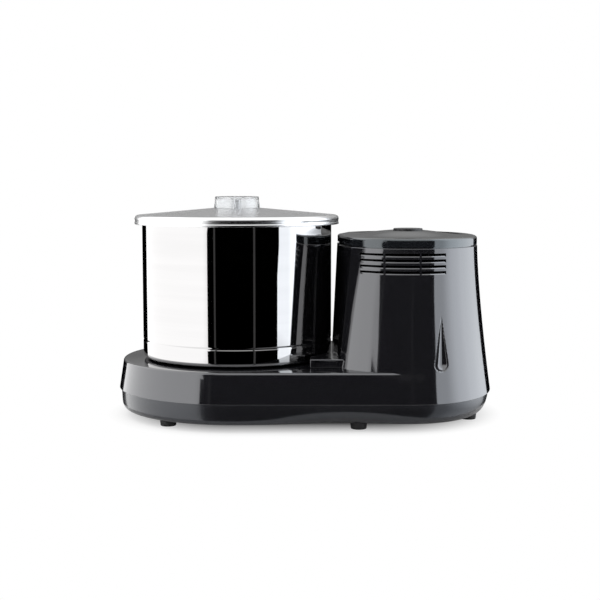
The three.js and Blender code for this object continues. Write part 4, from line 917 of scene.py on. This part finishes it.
# Lid: shallow cone, rounded shoulder, rolled hem, and the clear knob
lid = {
    "overhang": 5.4, "rimHeight": 9.2, "cone": 7.8, "shoulder": 4.2, "flat": 28.0, "sheet": 1.1, "bore": 2.3,
    "hem": 2.0, "groove": 2.0, "grooveDepth": 0.4, "hemRound": 0.7, "fit": 0.3, "flatRound": 12.0,
    "grooveRounds": (0.8, 0.5, 0.4, 0.5), "innerRound": 1.5, "shoulderSteps": 10, "steps": 6,
    "knobFoot": 26.5, "knobTop": 25.3, "knobHeight": 13.0, "knobWall": 1.7, "knobRoof": 2.4, "knobEdge": 0.9,
    "knobRound": 0.3, "roofRound": 1.4, "bossRound": 1.0, "knobBoss": 6.0, "knobSides": 192, "screw": 2.3,
}
lid["radius"] = drum["radius"] - drum["sheet"] + 2 * drum["roll"] + lid["overhang"]
lid["under"] = rimZ + lid["fit"]
lid["top"] = lid["under"] + lid["sheet"] + lid["cone"]


def lidPieces():
    radius, sheet = lid["radius"], lid["sheet"]
    low = rimZ - lid["rimHeight"]
    waist = radius - lid["grooveDepth"]
    inner = waist - sheet
    shoulder = radius - lid["shoulder"]
    centreZ = lid["under"] + sheet - lid["shoulder"]
    seat = drum["radius"] - drum["sheet"]
    corners = [(lid["bore"], lid["top"]), (lid["flat"], lid["top"], lid["flatRound"])]
    corners += arcLine(shoulder, centreZ, lid["shoulder"], 1, 0, lid["shoulderSteps"])
    hem, groove = low + lid["hem"], lid["groove"]
    across = (radius, hem + 2 * groove), (waist, hem + groove), (waist, hem + groove / 2), (radius, hem)
    corners += [(*corner, edge) for corner, edge in zip(across, lid["grooveRounds"])]
    corners += [
        (radius, low, lid["hemRound"]), (inner, low, lid["hemRound"]), (inner, centreZ, lid["innerRound"]),
        (shoulder - sheet / 2, lid["under"]), (seat, lid["under"]), (lid["flat"], lid["top"] - sheet),
        (lid["bore"], lid["top"] - sheet),
    ]
    piece = turnedPiece("lidCone", corners, lidSteel, drum["sides"], lid["steps"], sharpAngle=drum["sharp"])
    placed(piece, "lid", "drum_steel", "lid")
    low = lid["top"] + lid["fit"]
    high = low + lid["knobHeight"]
    roof = high - lid["knobRoof"]
    foot, top, wall, boss = lid["knobFoot"], lid["knobTop"], lid["knobWall"], lid["knobBoss"]
    edge = lid["knobRound"]
    corners = [
        (0, high), (top, high, lid["knobEdge"]), (foot, low, edge), (foot - wall, low, edge),
        (top - wall, roof, lid["roofRound"]), (boss, roof, lid["bossRound"]), (boss, low, edge),
        (lid["screw"], low), (lid["screw"], roof), (0, roof),
    ]
    piece = turnedPiece("clearKnob", corners, clearPlastic, lid["knobSides"])
    placed(piece, "lid", "knob_clear", "lid_knob")


lidPieces()
print("drum and lid made")

# Finishes of the nodes that stay as they are
finishes = {
    plainSteel: [
        "spindle", "lower_bearing", "upper_bearing", "bearing_spacer", "carrier_sleeve", "wiper_arm",
        "axle_1", "axle_2", "axle_nut_1", "axle_nut_2", "knob_screw", "motor_bracket", "stator_stack",
        "lower_motor_bearing", "upper_motor_bearing", "motor_shaft", "rotor_core"],
    castMetal: [
        "spindle_flange", "drum_pulley", "drive_coupler", "drive_socket", "lower_end_shield",
        "upper_end_shield", "motor_pulley"],
    granite: ["base_stone", "roller_stone_1", "roller_stone_2"],
    copper: ["lower_winding", "upper_winding"],
    mattBlack: ["carrier_grip", "wiper_blade", "roller_bush_1", "roller_bush_2", "cooling_fan", "capacitor"],
    rubber: [
        "cord_grommet", "slinger_ring", "knob_washer", "rubber_mount_1", "rubber_mount_2", "rubber_mount_3",
        "rubber_mount_4", "drive_belt"],
    drumSteel: ["centre_tube"],
}
for material, names in finishes.items():
    for name in names:
        mesh = nodes[name].data
        mesh.materials.clear()
        mesh.materials.append(material)
        smoothed(nodes[name])
print("finishes set")

# Studio: white floor, one soft lamp, and upright white cards that only polished surfaces show
studio = {
    "white": 1.0, "ambient": 0.80, "rearLow": 0.20, "rearHigh": 0.49, "overhead": 1.5,
    "horizon": (0.005, 0.04), "rearward": (0.3, 0.7), "rearRise": (0.13, 0.28), "overheadRise": (0.24, 0.72),
    "keyPower": 9.6, "keySize": 1.6, "keyPlace": (-0.5, -0.7, 1.9), "keyAim": (0, 0, 0.08),
    "floorSize": 8.0, "shineFloor": (0.150, 0.153), "floorSpread": 0.08, "shadowReach": (0.072, 0.152),
}
# outlines as (y, z) pairs; rise and fall ramp the light along y and low along z, as (from, to, level, level)
cards = {
    "leftCard": {
        "x": -0.40, "light": 1.95, "rise": (-0.60, -0.45, 0.85, 1.0), "low": (-0.10, 0.0, 0.8, 1.0),
        "outline": ((-0.56, -0.6), (-0.56, 0.19), (-0.60, 0.21), (-0.60, 0.9), (0.21, 0.9), (0.21, -0.6)),
    },
    "farLeftCard": {  # lengthens the tower's left reflection at its foot
        "x": -0.844, "light": 1.66,
        "outline": ((-1.39, 0.262), (-1.37, 0.285), (-1.308, 0.378), (-1.194, 0.462), (-1.055, 0.516),
                    (-0.7, 0.56), (-0.7, 0.262)),
    },
    "rightCard": {
        "x": 0.42, "tint": (0.93, 0.97, 1.02), "light": 3.0, "rise": (-0.30, -0.14, 0.64, 1.0),
        "fall": (-0.05, 0.20, 1.0, 0.5), "low": (-0.10, 0.0, 0.4, 1.0),
        "outline": ((-0.453, -0.6), (-0.453, 0.10), (-0.425, 0.16), (-0.425, 0.9), (0.24, 0.9), (0.24, -0.6)),
    },
    # the strips draw the two faint lines in the drum's dark band
    "leftStrip": {
        "x": -0.40, "light": 0.07, "outline": ((-0.82, -0.6), (-0.82, 0.9), (-0.75, 0.9), (-0.75, -0.6)),
    },
    "rightStrip": {
        "x": 0.20, "light": 0.07, "outline": ((-0.745, -0.6), (-0.745, 0.9), (-0.67, 0.9), (-0.67, -0.6)),
    },
}


# a plain light shader's output
def lit(tree, kind, strength, color=(1, 1, 1)):
    node = tree.nodes.new(kind)
    node.inputs["Color"].default_value = (*color, 1)
    feed(tree, strength, node.inputs["Strength"])
    return node.outputs[0]


def mixShader(tree, factor, first, second):
    mix = tree.nodes.new("ShaderNodeMixShader")
    for value, socket in zip((factor, first, second), mix.inputs):
        tree.links.new(value, socket)
    return mix.outputs[0]


def studioWorld():
    world = bpy.data.worlds.new("studio")
    world.use_nodes = True
    scene.world = world
    tree = world.node_tree
    tree.nodes.clear()
    y, z = split(tree, coordinates(tree, "Generated"))[1:]
    above = mapped(tree, z, *studio["horizon"], smooth=True)
    behind = mapped(tree, y, *studio["rearward"], smooth=True)
    level = mapped(tree, z, *studio["rearRise"], studio["rearLow"], studio["rearHigh"])
    rear = times(tree, times(tree, above, behind), level)
    high = mapped(tree, z, *studio["overheadRise"], 0.0, studio["overhead"], True)
    shine = mathNode(tree, "MAXIMUM", rear, high)
    plain, polished, white = [lit(tree, "ShaderNodeBackground", strength)
                              for strength in (studio["ambient"], shine, studio["white"])]
    path = tree.nodes.new("ShaderNodeLightPath").outputs
    straight = mathNode(tree, "MAXIMUM", path["Is Camera Ray"], path["Is Transmission Ray"])
    seen = mixShader(tree, straight, mixShader(tree, path["Is Glossy Ray"], plain, polished), white)
    tree.links.new(seen, tree.nodes.new("ShaderNodeOutputWorld").inputs[0])


def stagePlane(name, corners, material):
    mesh = bpy.data.meshes.new(name)
    mesh.from_pydata(corners, [], [tuple(range(len(corners)))])
    plane = bpy.data.objects.new(name, mesh)
    scene.collection.objects.link(plane)
    mesh.materials.append(material)


def stageMaterial(name):
    material = bpy.data.materials.new(name)
    material.use_nodes = True
    tree = material.node_tree
    tree.nodes.clear()
    return material, tree, tree.nodes.new("ShaderNodeOutputMaterial").inputs[0]


def whiteCard(name, card):
    material, tree, surface = stageMaterial(name)
    material.cycles.emission_sampling = "NONE"
    y, z = split(tree, coordinates(tree))[1:]
    level = card["light"]
    for ramp, along in (("rise", y), ("fall", y), ("low", z)):
        if ramp in card:
            level = times(tree, mapped(tree, along, *card[ramp], ramp == "rise"), level)
    glow = lit(tree, "ShaderNodeEmission", level, card.get("tint", (1, 1, 1)))
    clear = tree.nodes.new("ShaderNodeBsdfTransparent").outputs[0]
    glossy = tree.nodes.new("ShaderNodeLightPath").outputs["Is Glossy Ray"]
    tree.links.new(mixShader(tree, glossy, clear, glow), surface)
    stagePlane(name, [(card["x"], y, z) for y, z in card["outline"]], material)


# white floor that keeps the shadow, and that polished surfaces see only close by
def studioFloor():
    half = studio["floorSize"] / 2
    material, tree, surface = stageMaterial("whiteFloor")
    diffuse = tree.nodes.new("ShaderNodeBsdfDiffuse")
    diffuse.inputs["Color"].default_value = (1, 1, 1, 1)
    plain = lit(tree, "ShaderNodeEmission", studio["white"])
    clear = tree.nodes.new("ShaderNodeBsdfTransparent").outputs[0]
    x, y = split(tree, coordinates(tree))[:2]
    past = mathNode(tree, "SUBTRACT", mathNode(tree, "ABSOLUTE", x), studio["floorSpread"])
    away = lengthOf(tree, mathNode(tree, "MAXIMUM", past, 0.0), y)
    path = tree.nodes.new("ShaderNodeLightPath").outputs
    unshaded = times(tree, path["Is Camera Ray"], mapped(tree, away, *studio["shadowReach"]))
    far = times(tree, path["Is Glossy Ray"], mapped(tree, away, *studio["shineFloor"], smooth=True))
    bright = mixShader(tree, unshaded, diffuse.outputs[0], plain)
    tree.links.new(mixShader(tree, far, bright, clear), surface)
    stagePlane("floor", [(-half, -half, 0), (half, -half, 0), (half, half, 0), (-half, half, 0)], material)


def studioLamp():
    light = bpy.data.lights.new("key", "AREA")
    light.shape = "DISK"
    light.size = studio["keySize"]
    light.energy = studio["keyPower"]
    lamp = bpy.data.objects.new("key", light)
    lamp.location = studio["keyPlace"]
    lamp.rotation_euler = (Vector(studio["keyAim"]) - lamp.location).to_track_quat("-Z", "Y").to_euler()
    lamp.visible_glossy = False
    scene.collection.objects.link(lamp)


studioWorld()
for name, card in cards.items():
    whiteCard(name, card)
studioFloor()
studioLamp()
scene.view_settings.view_transform = "Standard"
print("studio set")
